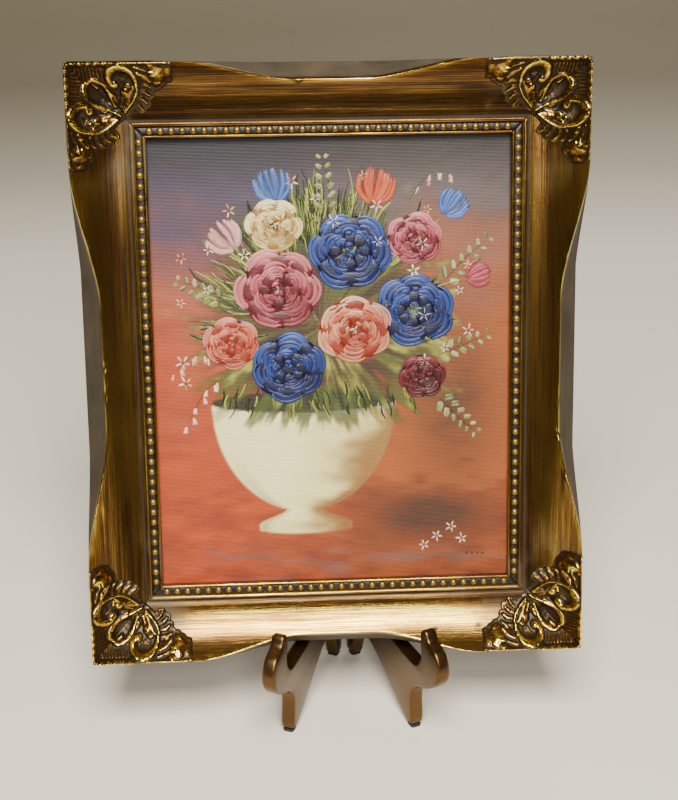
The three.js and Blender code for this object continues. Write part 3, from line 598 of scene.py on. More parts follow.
def moulded_rail(side, name, finish, wood):
    """One fine rail: its sections carried between the two mitres, with worn and knocked edges."""
    level = side % 2 == 0
    length = SIGHT_WIDTH if level else SIGHT_LENGTH
    stations = RAIL_STATIONS["level" if level else "upright"]
    rings, share, inset = rail_rings(length, END_SWEEP if level else SIDE_SWEEP, stations)
    share, ridge = share[:, None], (RAIL_WIDTH - inset)[:, None]
    across, height = rings[..., 0], rings[..., 1].copy()
    along = share * (length / 2 + across - MITRE_GAP)
    on_ridge = bell((across - ridge) / RIDGE_WEAR) * (height > SCOOP_FLOOR + 2)
    height += on_ridge * RIDGE_WAVER * (rippled(along + 300 * side, across * 0, 24, 11 + side) - 0.5)
    for at, size, deep in KNOCKS[side]:
        height -= deep * on_ridge * bell((along - at) / size)
    points = rail_place(side, along, across, height)
    patina, rub = rail_wear(side, along, across, height, share, ridge, on_ridge)
    step = np.linalg.norm(np.diff(rings, axis=1), axis=-1)
    arc = np.concatenate([np.zeros((stations, 1)), np.cumsum(step, 1)], 1)
    moulding = np.stack([along + 1000 * side, arc, np.full_like(arc, 10.0 * side)], -1) * MM
    count = rings.shape[1]
    faces = grid_faces(stations, count, wrap=True)
    column = faces[:, 0] % count
    bare = (column >= FRONT_POINTS) | (column < LIP_COLUMNS)
    last = (stations - 1) * count
    shape = Shape()
    shape.add(points, faces, moulding=moulding.reshape(-1, 3), patina=patina.ravel(), rub=rub.ravel())
    shape.slots = bare.astype(int).tolist()
    shape.faces += [list(range(count))[::-1], list(range(last, last + count))]
    shape.slots += [1, 1]
    return shape.piece("fine_" + name, [finish, wood], "gilt_rail", [name])


STRIP_GAP = 0.25
STRIP_SIDE, STRIP_TOP = 0.35, 0.6
STRIP_STATIONS = 120
STRIP_SHADE = 0.05
BEAD_RINGS, BEAD_SIDES = 6, 12
BEAD_SINK = 0.4
BEAD_SQUASH = 0.86


def beaded_strip(side, name, finish):
    """A strip in the channel with round beads, each a half ball of 12 by 5 faces."""
    length = SIGHT_WIDTH if side % 2 == 0 else SIGHT_LENGTH
    centre, floor = (LIP_WIDTH + CHANNEL_END) / 2, CHANNEL_FLOOR + 0.02
    half = (CHANNEL_END - LIP_WIDTH) / 2 - STRIP_GAP
    edge = [(-half, 0), (-half, STRIP_SIDE), (-half * 0.6, STRIP_TOP)]
    edge = np.array(edge + [(-x, z) for x, z in edge[::-1]])
    share = np.linspace(-1, 1, STRIP_STATIONS)[:, None]
    across = centre + edge[None, :, 0]
    along = share * (length / 2 + across - 0.1)
    points = rail_place(side, along, across, floor + edge[None, :, 1] + 0 * along)
    corners, total = len(edge), points.size // 3
    strip = grid_faces(STRIP_STATIONS, corners, wrap=True).tolist()
    strip += [list(range(corners))[::-1], list(range(total - corners, total))]
    # The strip's low value makes it dark in the finish: dirt and painted shade between the beads
    shape = Shape().add(points, strip, top=np.full(total, STRIP_SHADE))
    run = length - 2 * BEAD_RADIUS
    rise = np.linspace(0, math.pi / 2, BEAD_RINGS)[:, None]
    turn = np.arange(BEAD_SIDES) * 2 * math.pi / BEAD_SIDES
    bead = grid_faces(BEAD_RINGS, BEAD_SIDES, wrap=True).tolist() + [list(range(BEAD_SIDES))[::-1]]
    rng = np.random.default_rng(70 + side)
    for at in np.linspace(-run / 2, run / 2, round(run / BEAD_PITCH) + 1):
        size = BEAD_RADIUS * rng.uniform(1.03, 1.10)
        ring = size * np.cos(rise)
        up = floor + BEAD_SINK + size * BEAD_SQUASH * np.sin(rise) + 0 * turn
        spot = rail_place(side, at + ring * np.cos(turn), centre + ring * np.sin(turn), up)
        # Each bead darker towards its foot as dirt and painted shade
        top = (np.sin(rise) * rng.uniform(0.75, 1.1) + 0 * turn).ravel()
        shape.add(spot, bead, top=top)
    return shape.piece("fine_" + name, [finish], "gilt_beading", [name])


# Corner ornaments. A place is (a, b): a runs along one edge from the outer corner, b inward.


def line_of(spots):
    return curve_through(spots, 6 * len(spots))


def rim_strokes():
    """The rope along the outer edge, thick at the corner and lower along the arms."""
    return [
        (((0.4, 0.5), (21, 0.7)), (1.8, 1.7, 1.5), 2.7),
        (((20.5, 0.5), (34, 0.2), (50.5, 0.3)), (1.5, 1.4, 1.0), 1.8),
    ]


def flute_strokes():
    """Short bars side by side, fanned towards the outer corner."""
    first, pitch, longest, count = 4.8, 1.85, 10.2, 8
    strokes = []
    for at in first + pitch * np.arange(count):
        reach = min(longest, at - 0.4)
        bar = (at, 3.2), (at + 0.1, reach / 2 + 1.8), (at + 0.3, reach)
        strokes.append((bar, (0.5, 0.72, 0.6), 2.0))
    return strokes


def scroll_strokes():
    """A fat C scroll with its rolled end, and the ribbon that runs inward beside the drop."""
    return [
        (((23.6, 11.4), (21.4, 9.6), (21.4, 6.0), (24.2, 3.2),
          (28.6, 3.0), (32.4, 5.2), (34.4, 8.6), (34.7, 12.0)),
         (1.6, 2.1, 2.1, 1.9, 1.7, 1.4, 0.9), 3.8),
        (((23.8, 10.9), (24.2, 11.2)), (2.1, 1.9), 3.5),
        (((18.6, 11.2), (21.2, 13.4), (23.8, 17.2)), (0.8, 1.1, 0.9), 2.6),
        (((23.7, 18.2), (23.9, 18.4)), (1.5, 1.5), 2.8),
    ]


def acanthus_strokes():
    """A lobed leaf inside the scroll, its bright turned edge and the fluted fan behind it."""
    return [
        (((28.0, 23.4), (29.3, 19.4), (31.0, 15.4), (33.0, 12.8)), (1.1, 2.3, 2.5, 1.3), 3.1),
        (((29.0, 14.6), (29.3, 15.0)), (2.4, 2.2), 3.5),
        (((30.4, 11.6), (31.2, 11.8)), (1.6, 1.5), 2.7),
        (((26.4, 21.4), (27.6, 17.8)), (1.2, 1.6), 2.7),
        (((35.3, 11.4), (34.6, 15.2), (32.2, 19.6), (28.2, 24.6)), (0.8, 0.9, 0.8, 0.6), 3.5),
        (((36.6, 11.2), (39.2, 11.2), (42.0, 12.4)), (1.3, 1.4, 0.5), 2.3),
        (((36.2, 14.0), (38.6, 14.6), (41.2, 16.4)), (1.3, 1.4, 0.5), 2.2),
        (((35.2, 16.8), (37.4, 18.0), (39.6, 20.2)), (1.2, 1.3, 0.5), 2.1),
        (((33.8, 19.4), (35.6, 21.0), (37.2, 23.2)), (1.1, 1.2, 0.4), 1.9),
    ]


def bud_strokes():
    """A round bud at the end of the arm, with the stalk and the leaf that lead to it."""
    return [
        (((34.4, 2.8), (38.2, 3.8), (42.6, 5.8)), (0.6, 0.9, 0.7), 2.6),
        (((35.4, 5.6), (38.4, 7.2), (41.8, 9.6)), (0.8, 2.1, 1.2), 3.3),
        (((36.2, 8.2), (39.4, 10.4), (42.2, 13.0)), (0.5, 0.8, 0.4), 2.4),
        (((45.4, 5.8), (45.7, 5.9)), (4.1, 4.1), 4.4),
        (((50.2, 5.2), (50.4, 5.2)), (2.7, 2.5), 2.8),
        (((42.6, 2.4), (43.4, 2.6)), (1.6, 1.5), 2.9),
        (((43.2, 9.2), (44.8, 10.4), (47.0, 10.0)), (1.0, 1.5, 0.7), 2.7),
        (((41.4, 5.0), (44.2, 5.4)), (0.5, 0.9), 4.9),
        (((42.0, 6.8), (44.6, 7.0)), (0.4, 0.8), 4.6),
    ]


def half_strokes():
    return rim_strokes() + flute_strokes() + scroll_strokes() + acanthus_strokes() + bud_strokes()


def drop_strokes():
    """The drop on the diagonal, as (down it, aside): a loop, its rolled bead and the tail."""
    loop = (
        (37.0, 0.3), (32, 1.8), (28, 3.4), (23.5, 5.0), (18.4, 4.8), (15.2, 2.6), (14.4, 0),
        (15.2, -2.6), (18.4, -4.8), (23.5, -5.0), (28, -3.2), (32, -1.4),
    )
    tail, bead = ((28, 0), (37, 0)), ((17.0, -1.6), (19.6, -2.0))
    strokes = (
        (loop, (0.7, 1.2, 1.55, 1.6, 1.5, 1.0), 3.3), (tail, (0.5, 1.0, 1.0), 1.8), (bead, (1.1, 0.8), 2.9),
    )
    turned = np.array([[1, 1], [1, -1]]) / math.sqrt(2)
    return [(np.array(spots) @ turned, radii, height) for spots, radii, height in strokes]


def press(field, near, a, b, spots, radii, height):
    """Raises a round cord along a curve through the spots, the highest wins:
    height * sqrt(1 - (distance / radius)^2). `near` keeps the distance to the nearest cord."""
    line = line_of(spots)
    radius_at = np.interp(np.linspace(0, 1, len(line)), np.linspace(0, 1, len(radii)), radii)
    for (p, q), (r0, r1) in zip(zip(line[:-1], line[1:]), zip(radius_at[:-1], radius_at[1:])):
        run = q - p
        t = np.clip(((a - p[0]) * run[0] + (b - p[1]) * run[1]) / max(run @ run, 1e-9), 0, 1)
        away = np.hypot(a - p[0] - t * run[0], b - p[1] - t * run[1])
        radius = 1.15 * mix(r0, r1, t)
        np.maximum(field, height * np.sqrt(np.clip(1 - (away / radius) ** 2, 0, 1)), out=field)
        np.minimum(near, away - radius, out=near)


ORNAMENT_STEP = 0.26
ORNAMENT_REACH = 53.5
ORNAMENT_OVERHANG = 0.8
ORNAMENT_WRAP = 8.5
CORNER_ROUND = 3.4
PLATE_DIAGONAL, PLATE_SQUARE = 36, 22.5
ROPE_PITCH, ROPE_END = 3.9, 21
NO_METAL = -0.7
UNDER = 1.4

# The four neighbours of a cell, each with the two corners of the edge between them
CELL_EDGES = (
    (-1, 0, (0, 0), (0, 1)), (1, 0, (1, 1), (1, 0)),
    (0, -1, (1, 0), (0, 0)), (0, 1, (0, 1), (1, 1)),
)


def ornament_field():
    """The casting's relief over the moulding, on a square grid of (a, b)."""
    line = np.arange(-ORNAMENT_OVERHANG, ORNAMENT_REACH, ORNAMENT_STEP)
    a, b = np.meshgrid(line, line, indexing="ij")
    field, near = np.zeros_like(a), np.full_like(a, 99.0)
    for stroke in half_strokes():
        press(field, near, a, b, *stroke)
    field, near = np.maximum(field, field.T), np.minimum(near, near.T)
    for stroke in drop_strokes():
        press(field, near, a, b, *stroke)
    outer, inner = np.maximum(a, b), np.minimum(a, b)
    near = np.minimum(near, np.maximum((a + b - PLATE_DIAGONAL) / math.sqrt(2), outer - PLATE_SQUARE))
    near += 1.6 * (rippled(a, b, 5.0, 9, 2) - 0.5)
    lobes = 0.5 * np.cos(2 * np.pi * outer / ROPE_PITCH) * (inner < 2) * (outer < ROPE_END)
    knobs = rippled(a, b, 3.0, 5, 3) - 0.5
    mound = 0.5 + 0.55 * blur(field, 6.5) + 1.0 * knobs
    field = np.logaddexp(3 * mound, 3 * field * (0.97 + 0.35 * knobs)) / 3
    field = mix(field, NO_METAL, smooth((near - 1.0) / 1.3))
    field = field + lobes * (field > 0.5)
    corner = np.hypot(np.maximum(CORNER_ROUND - a, 0), np.maximum(CORNER_ROUND - b, 0)) - CORNER_ROUND
    hang = ORNAMENT_OVERHANG * fall((outer - 40) / 9) + 0.01
    field = np.where((corner > ORNAMENT_OVERHANG) | (inner < -hang), NO_METAL, field)
    grain = (rippled(a, b, 1.6, 15, 2) - 0.5) * 0.34
    relief = blur(field, 0.85) + grain * smooth((field + 0.2) / 0.4)
    return a, b, relief, corner


def cast_ornament(name, sx, sy, field, finish):
    """The relief standing on the moulding, closed by walls and an underside inside the rails."""
    a, b, relief, corner = field
    inward = np.where((a < CORNER_ROUND) & (b < CORNER_ROUND), -corner, np.minimum(a, b))
    base = scoop_height(RAIL_WIDTH - np.maximum(inward, 0.6))
    top = base + relief - 2.4 * smooth((0.9 - inward) / 1.7) ** 2
    rows, columns = a.shape
    alive = relief > NO_METAL + 0.08
    cells = alive[:-1, :-1] & alive[1:, :-1] & alive[:-1, 1:] & alive[1:, 1:]
    outer = np.maximum(a, b)
    wave = 0.75 + 0.25 * np.cos(outer * np.pi / ROPE_PITCH)
    wrap = ORNAMENT_WRAP * wave * smooth((52 - outer) / 8)
    under = np.where(inward < 0.3, FRAME_DEPTH - wrap, base - UNDER)
    index = np.arange(rows * columns).reshape(rows, columns)
    r, c = np.nonzero(cells)
    quad = np.stack([index[r, c], index[r + 1, c], index[r + 1, c + 1], index[r, c + 1]], -1)
    lower = quad[:, ::-1] + rows * columns
    walls = []
    padded = np.pad(cells, 1)
    for dr, dc, p, q in CELL_EDGES:
        edge = cells & ~padded[1 + dr : rows + dr, 1 + dc : columns + dc]
        r, c = np.nonzero(edge)
        i, j = index[r + p[0], c + p[1]], index[r + q[0], c + q[1]]
        walls.append(np.stack([i, j, j + rows * columns, i + rows * columns], -1))
    faces = np.concatenate([quad, lower, *walls])
    if sx * sy > 0:
        faces = faces[:, ::-1]
    x = np.stack([sx * (OUTER_WIDTH / 2 - b)] * 2)
    y = np.stack([OUTER_HEIGHT / 2 + sy * (OUTER_HEIGHT / 2 - a)] * 2)
    points = np.stack([x, y, np.stack([top, under])], -1).reshape(-1, 3)
    used, faces = np.unique(faces, return_inverse=True)
    faces = faces.reshape(-1, 4)
    # Lower in the hollows than around them and a little higher on tall relief: the finish darkens the low
    # values as dirt and painted shade
    high = np.clip(0.42 + (relief - blur(relief, 5.0)) * 0.30 + 0.05 * relief, 0, 1)
    level = np.clip(relief / 3.5, 0, 1)
    high, level = (np.concatenate([v.ravel(), v.ravel() * 0 + 0.3])[used] for v in (high, level))
    shape = Shape().add(panel_to_world(points[used]), faces, high=high, level=level)
    return shape.piece("fine_" + name, [finish], "gilt_ornament", [name])


# The easel


def plate_outline():
    """The plate from its side, as (back, up), evenly spread and with its corners eased."""
    back_slope = math.tan(LEAN) / math.cos(OPEN_ANGLE)
    top = EASEL_HEIGHT - TOP_WIDTH / 2
    rest = NOTCH_BACK + back_slope * (top - SHELF_HEIGHT)
    belly = [(back, SHELF_HEIGHT + up) for back, up in HOOK_BELLY]
    tip = [(back - NOTCH_FRONT, SHELF_HEIGHT + up) for back, up in HOOK_TIP]
    hook_line = curve_through([(0, FOOT_START + 5), *belly, *tip, (0, SHELF_HEIGHT)], 160)
    far_leg, peak = PLATE_LENGTH - LEG_WIDTH, (ARCH_APEX, ARCH_HEIGHT)
    crown = (rest, top), (rest + 2, EASEL_HEIGHT), (PLATE_LENGTH, EASEL_HEIGHT), (PLATE_LENGTH, top)
    rear_arch = (far_leg, FOOT_START), (far_leg - 2, FOOT_START + 12), (ARCH_APEX + 8, ARCH_HEIGHT), peak
    front_arch = (
        peak, (ARCH_APEX - 14, ARCH_HEIGHT), (LEG_WIDTH + 18, FOOT_START + 10), (LEG_WIDTH, FOOT_START),
    )
    line = np.concatenate([
        [(1, FOOT_START)], hook_line, [(NOTCH_BACK, SHELF_HEIGHT)], bezier(*crown, 24),
        [(PLATE_LENGTH, FOOT_START)], bezier(*rear_arch, 24), bezier(*front_arch, 30)[1:],
    ])
    line = along_line(line, 620, closed=True)
    for _ in range(6):
        line = line / 2 + (np.roll(line, 1, 0) + np.roll(line, -1, 0)) / 4
    return line


def rounded_slab(outline, thickness, rounding, steps=7):
    """A closed outline given thickness, its two edges quarter-rounded: rings shrink by
    rounding * (1 - cos) while they rise by rounding * sin, and two flat faces close them."""
    tangent = np.roll(outline, -1, 0) - np.roll(outline, 1, 0)
    tangent /= np.linalg.norm(tangent, axis=1, keepdims=True)
    area = np.sum(outline[:, 0] * np.roll(outline[:, 1], -1) - np.roll(outline[:, 0], -1) * outline[:, 1])
    inward = np.stack([-tangent[:, 1], tangent[:, 0]], -1) * np.sign(area)
    turn = np.linspace(0, math.pi / 2, steps)
    sink = rounding * (1 - np.sin(turn))
    depth = rounding * (1 - np.cos(turn))
    sink, depth = np.concatenate([sink, sink[::-1]]), np.concatenate([depth, thickness - depth[::-1]])
    rings = [np.column_stack([outline + inward * s, np.full(len(outline), d)]) for s, d in zip(sink, depth)]
    count = len(outline)
    faces = grid_faces(len(rings), count, wrap=True)
    if area < 0:
        faces = faces[:, ::-1]
    flat = np.array(tessellate_polygon([[Vector((*p, 0)) for p in rings[0][:, :2]]]))
    corner = outline[flat]
    one, two = corner[:, 1] - corner[:, 0], corner[:, 2] - corner[:, 0]
    flip = one[:, 0] * two[:, 1] - one[:, 1] * two[:, 0] < 0
    flat[flip] = flat[flip][:, ::-1]
    last = (len(rings) - 1) * count
    faces = [list(f) for f in faces] + flat[:, ::-1].tolist() + (flat + last).tolist()
    return np.concatenate(rings), faces


def plate_to_world(p, side):
    """Places (back, up, across) of one plate; side is -1 left and 1 right."""
    back, up, across = (np.asarray(p, float)[..., i] for i in range(3))
    sin, cos = math.sin(OPEN_ANGLE), math.cos(OPEN_ANGLE)
    x = side * (SPINE_GAP + PLATE_LENGTH * sin) - side * sin * back + cos * across
    y = cos * back + side * sin * across
    return np.stack([EASEL_X + x * MM, FOOT_Y + y * MM, up * MM], -1)


KNUCKLE_SIDES = 36
KNUCKLE_EASE, KNUCKLE_GAP, KNUCKLE_SPACE = 0.4, 0.15, 0.3
SPINE = PLATE_LENGTH * math.cos(OPEN_ANGLE)
BLOCK_FACES = [(0, 1, 5, 4), (1, 2, 6, 5), (2, 3, 7, 6), (3, 0, 4, 7), (3, 2, 1, 0), (4, 5, 6, 7)]


def barrel(shape, low, high):
    """A hollow upright knuckle about the hinge pin, its rims eased."""
    ease, inner, outer = KNUCKLE_EASE, PIN_RADIUS + KNUCKLE_GAP, KNUCKLE_RADIUS
    profile = [(inner, low + ease), (inner + ease, low), (outer - ease, low), (outer, low + ease)]
    profile += [(r, low + high - z) for r, z in profile[::-1]]
    turn = np.arange(KNUCKLE_SIDES)[:, None] * 2 * math.pi / KNUCKLE_SIDES
    radius, up = (np.array(profile)[None, :, k] for k in (0, 1))
    x, y = radius * np.cos(turn), SPINE + KNUCKLE_BACKSET + radius * np.sin(turn)
    points = np.stack([EASEL_X + x * MM, FOOT_Y + y * MM, np.broadcast_to(up, x.shape) * MM], -1)
    points = np.concatenate([points, points[:1]])
    shape.add(points, grid_faces(KNUCKLE_SIDES + 1, len(profile), wrap=True))


def easel_plate(side, name, finish):
    """A plate with its own three knuckles, each on a block that joins it to the spine."""
    points, faces = rounded_slab(plate_outline(), PLATE_THICKNESS, PLATE_ROUNDING)
    if side < 0:
        points[:, 2] -= PLATE_THICKNESS
    shape = Shape().add(plate_to_world(points, side), faces)
    near, far = sorted((side * (KNUCKLE_EASE + 1.7), side * (KNUCKLE_RADIUS + KNUCKLE_EASE)))
    front, rear = SPINE - 1.5, SPINE + KNUCKLE_BACKSET
    corners = ((near, front), (far, front), (far, rear), (near, rear))
    for i in range(0 if side < 0 else 1, KNUCKLE_COUNT, 2):
        low = KNUCKLE_START + i * KNUCKLE_HEIGHT + KNUCKLE_SPACE / 2
        high = low + KNUCKLE_HEIGHT - KNUCKLE_SPACE
        barrel(shape, low, high)
        block = np.array([(x, y, z) for z in (low, high) for x, y in corners])
        shape.add(block * MM + (EASEL_X, FOOT_Y, 0), BLOCK_FACES)
    return shape.piece("fine_" + name, [finish], "bronze_plastic", [name])


PAD_INSET = 0.8
PAD_ROUNDING = 0.35
PAD_SQUARENESS = 0.5


def foot_pad(side, rear, name, finish):
    """A small rubber pad with rounded ends under one foot."""
    turn = np.arange(48) * 2 * math.pi / 48
    sides = []
    for length, value in ((LEG_WIDTH, np.cos(turn)), (PLATE_THICKNESS, np.sin(turn))):
        sides.append((length / 2 - PAD_INSET) * np.sign(value) * np.abs(value) ** PAD_SQUARENESS)
    points, faces = rounded_slab(np.stack(sides, -1), PAD_THICKNESS, PAD_ROUNDING, 4)
    middle = PLATE_LENGTH - LEG_WIDTH / 2 if rear else LEG_WIDTH / 2
    across = side * PLATE_THICKNESS / 2 - points[:, 1]
    place = np.stack([points[:, 0] + middle, points[:, 2], across], -1)
    pad = Shape().add(plate_to_world(place, side), faces)
    return pad.piece("fine_" + name, [finish], "black_rubber", [name])


# The painting: a made-up still life of roses and tulips in a low footed bowl


def srgb(r, g, b):
    return (np.array([r, g, b]) / 255) ** 2.2


DUSK, LILAC, ROSE_PINK, CORAL = srgb(62, 53, 76), srgb(92, 80, 82), srgb(160, 80, 54), srgb(172, 64, 18)
TABLE, TAN, SHADOW = srgb(140, 64, 14), srgb(164, 82, 24), srgb(56, 34, 20)
CREAM, CREAM_SHADE, CREAM_DARK = srgb(255, 252, 180), srgb(236, 216, 140), srgb(150, 112, 58)
DEEP_GREEN, GREEN, LIME = srgb(20, 26, 8), srgb(66, 80, 22), srgb(170, 172, 74)
NAVY, BLUE, SKY = srgb(10, 12, 44), srgb(24, 40, 112), srgb(86, 118, 196)
WINE, PINK, BLUSH = srgb(74, 12, 22), srgb(176, 64, 84), srgb(240, 176, 176)
RUST, PEACH, WHITE, OCHRE = srgb(120, 34, 18), srgb(206, 96, 60), srgb(244, 240, 206), srgb(196, 130, 34)
BOWL_X, BOWL_RIM, BOWL_FOOT, BOWL_HALF = -16.0, -20.0, -92.0, 50.0
HEART = np.array([-6.0, 20.0])
BUNCH_FLAT, ROSE_FLAT = (1, 0.95), (1, 0.92)

# Roses as (x, y, radius, dark, middle, light), from the back of the bunch to its front
ROSES = (
    (-30, 74, 15, OCHRE * 0.45, CREAM_SHADE, WHITE),
    (44, 66, 15, WINE, PINK, BLUSH),
    (10, 60, 22, NAVY, BLUE, SKY),
    (-54, 12, 15, RUST, PEACH, BLUSH),
    (44, 28, 21, NAVY, BLUE, SKY),
    (-28, 40, 23, WINE, PINK, BLUSH),
    (48, -8, 13, WINE * 0.6, WINE, PINK),
    (12, 18, 20, RUST, PEACH, WHITE),
    (-24, -2, 20, NAVY, BLUE, SKY),
)


def bowl_half_width(v):
    """Half the bowl's width at a height: a round belly, a narrow waist and a spread foot."""
    t = np.clip((v - BOWL_FOOT) / (BOWL_RIM - BOWL_FOOT), 0, 1)
    belly = np.sqrt(np.clip(1 - ((t - 0.98) / 0.84) ** 2, 0, 1))
    waist = 11 + 15 * smooth((0.16 - t) / 0.12)
    return np.maximum(BOWL_HALF * belly, waist)


def background(u, v):
    """Broad soft areas: dusk above, pink and coral at the left, tan at the right, an orange table, and a
    painted shadow of the frame's top rail darkening the top of the canvas.
    """
    wander = rippled(u + 40, v * 1.3, 46, 3, 4) - 0.5
    drift = rippled(u * 0.35 + v * 0.1, v, 5, 8, 3) - 0.5
    across = smooth((u + 88) / 176) + 0.5 * wander + 0.12 * drift
    up = (v + 120) / 240 + 0.35 * wander + 0.10 * drift
    top = tint(DUSK, LILAC, smooth(across * 1.1))
    middle = tint(tint(ROSE_PINK, CORAL, smooth((0.62 - up) / 0.3)), TAN, smooth(across * 1.2 - 0.15))
    colour = tint(middle, top, smooth((up - 0.55) / 0.38))
    # Painted shadow of the top rail: darker towards the top edge
    colour = colour * (1 - 0.8 * smooth((v - 86) / 32))[..., None]
    table = tint(CORAL, TABLE, smooth(across * 1.5)) * (0.95 + 0.5 * drift)[..., None]
    colour = tint(colour, table, smooth((0.27 - up) / 0.07))
    shade = bell((u - 52) / 34) * bell((v + 86) / 15)
    shade = np.maximum(shade, 0.75 * bell((u - 66) / 26) * bell((v + 22) / 50))
    colour = tint(colour, SHADOW, np.clip(shade * (1 + drift), 0, 0.88))
    glint = smooth((rippled(u * 0.22, v * 1.4, 6, 33, 2) - 0.62) / 0.14) * smooth((-96 - v) / 10)
    colour = tint(colour, LILAC, 0.4 * glint)
    return np.clip(colour * (1 + 0.5 * drift)[..., None], 0, 1)


def undergrowth(u, v, under):
    """A soft dark and olive mass behind the flowers, brushed outward into the background."""
    du, dv = u - HEART[0], (v - HEART[1]) * 0.95
    reach, aim = np.hypot(du, dv), np.arctan2(dv, du)
    rays = rippled(aim * 30 + 200, reach * 0.12, 2.2, 61, 3) - 0.5
    blots = rippled(u, v, 12, 55, 3) - 0.5
    mass = smooth((74 + 50 * rays + 16 * blots - reach) / 26) * smooth((v - BOWL_RIM + 16 + 24 * rays) / 8)
    green = tint(DEEP_GREEN, GREEN, smooth(0.5 + 2.4 * rays))
    green = tint(green, LIME, smooth(1.9 * blots + 2 * rays - 0.2))
    colour = tint(under, green, 0.9 * mass)
    for x, y, radius, dark, _, _ in ROSES:
        disc = smooth((radius * 1.02 - np.hypot(u - x, (v - y) / ROSE_FLAT[1])) / 2.2)
        colour = tint(colour, dark, disc)
    return colour


def oval(u, half):
    return np.sqrt(np.clip(1 - ((u - BOWL_X) / half) ** 2, 0, 1))


def bowl_paint(u, v, under):
    """The cream bowl over what is under it: an oval mouth, a round body and soft edges."""
    half = bowl_half_width(v)
    side = (u - BOWL_X) / half
    mouth = 6.0 * oval(u, BOWL_HALF)
    foot = BOWL_FOOT - 3.0 * oval(u, 26)
    edge = smooth((1 - np.abs(side)) * half / 1.4)
    below = smooth((BOWL_RIM - mouth - v) / 1.2)
    inside = edge * below * smooth((v - foot) / 1.4)
    blots = rippled(u * 0.4, v, 9, 21, 3) - 0.5
    light = 0.66 - 0.5 * side - 0.35 * np.abs(side) ** 3 + 0.6 * blots
    light = light - 0.25 * smooth((BOWL_FOOT + 24 - v) / 14)
    body = tint(CREAM_DARK, CREAM_SHADE, smooth(light * 2))
    body = tint(body, CREAM, smooth(light * 1.6 - 0.3))
    body = tint(body, TABLE, 0.45 * bell((np.abs(side) - 0.86) / 0.12) * smooth((-40 - v) / 40))
    well = edge * smooth((BOWL_RIM + mouth - v) / 1.2) * (1 - below)
    colour = tint(under, mix(SHADOW, DEEP_GREEN, 0.5), well)
    lip = bell((v - BOWL_RIM + mouth + 1.5) / 1.5) * inside
    return tint(tint(colour, body, inside), WHITE, 0.6 * lip)


def painted_canvas(paint, board):
    """The canvas panel: a fine painted front, its cut edges and the board behind it."""
    columns, rows = 236, 296
    across, up = (np.linspace(-0.5, 0.5, n) for n in (columns, rows))
    u, v = np.meshgrid(across * CANVAS_WIDTH, up * CANVAS_HEIGHT)
    colour = undergrowth(u, v, bowl_paint(u, v, background(u, v))).reshape(-1, 3)
    swell = 0.10 * (rippled(u * 0.6 + v, v - u, 7, 30, 3) - 0.5)
    front = np.stack([u, v + OUTER_HEIGHT / 2, CANVAS_FRONT - 0.06 + swell], -1).reshape(-1, 3)
    rim = grid_rim(rows, columns)
    back = front[rim].copy()
    back[:, 2] = CANVAS_FRONT - CANVAS_THICKNESS
    behind = len(front) + np.arange(len(rim))
    walls = np.stack([np.roll(rim, -1), rim, behind, np.roll(behind, -1)], -1)
    paints = np.ones((len(front) + len(rim), 4)) * (0.6, 0.6, 0.6, 1)
    paints[: len(front), :3] = colour
    points = panel_to_world(np.concatenate([front, back]))
    shape = Shape().add(points, grid_faces(rows, columns), paint=paints)
    shape.faces += walls.tolist() + [behind[::-1].tolist()]
    shape.slots += [1] * (len(rim) + 1)
    return shape.piece("painted_canvas", [paint, board], "painted_canvas", ["canvas_panel"])


# A petal's arcs from its heart to its rim: place along it, half angle, and how dark or light
PETAL_ARCS = ((0.16, 0.9, -0.45), (0.30, 1.3, 0.0), (0.44, 1.2, 0.22), (0.55, 1.0, 0.45))

# The rings of a rose, as (petals, size)
ROSE_RINGS = ((6, 1.0), (5, 0.80), (4, 0.60), (3, 0.42), (3, 0.25))
LIT_FROM = 2.1
LAYER_STEP = 0.00012


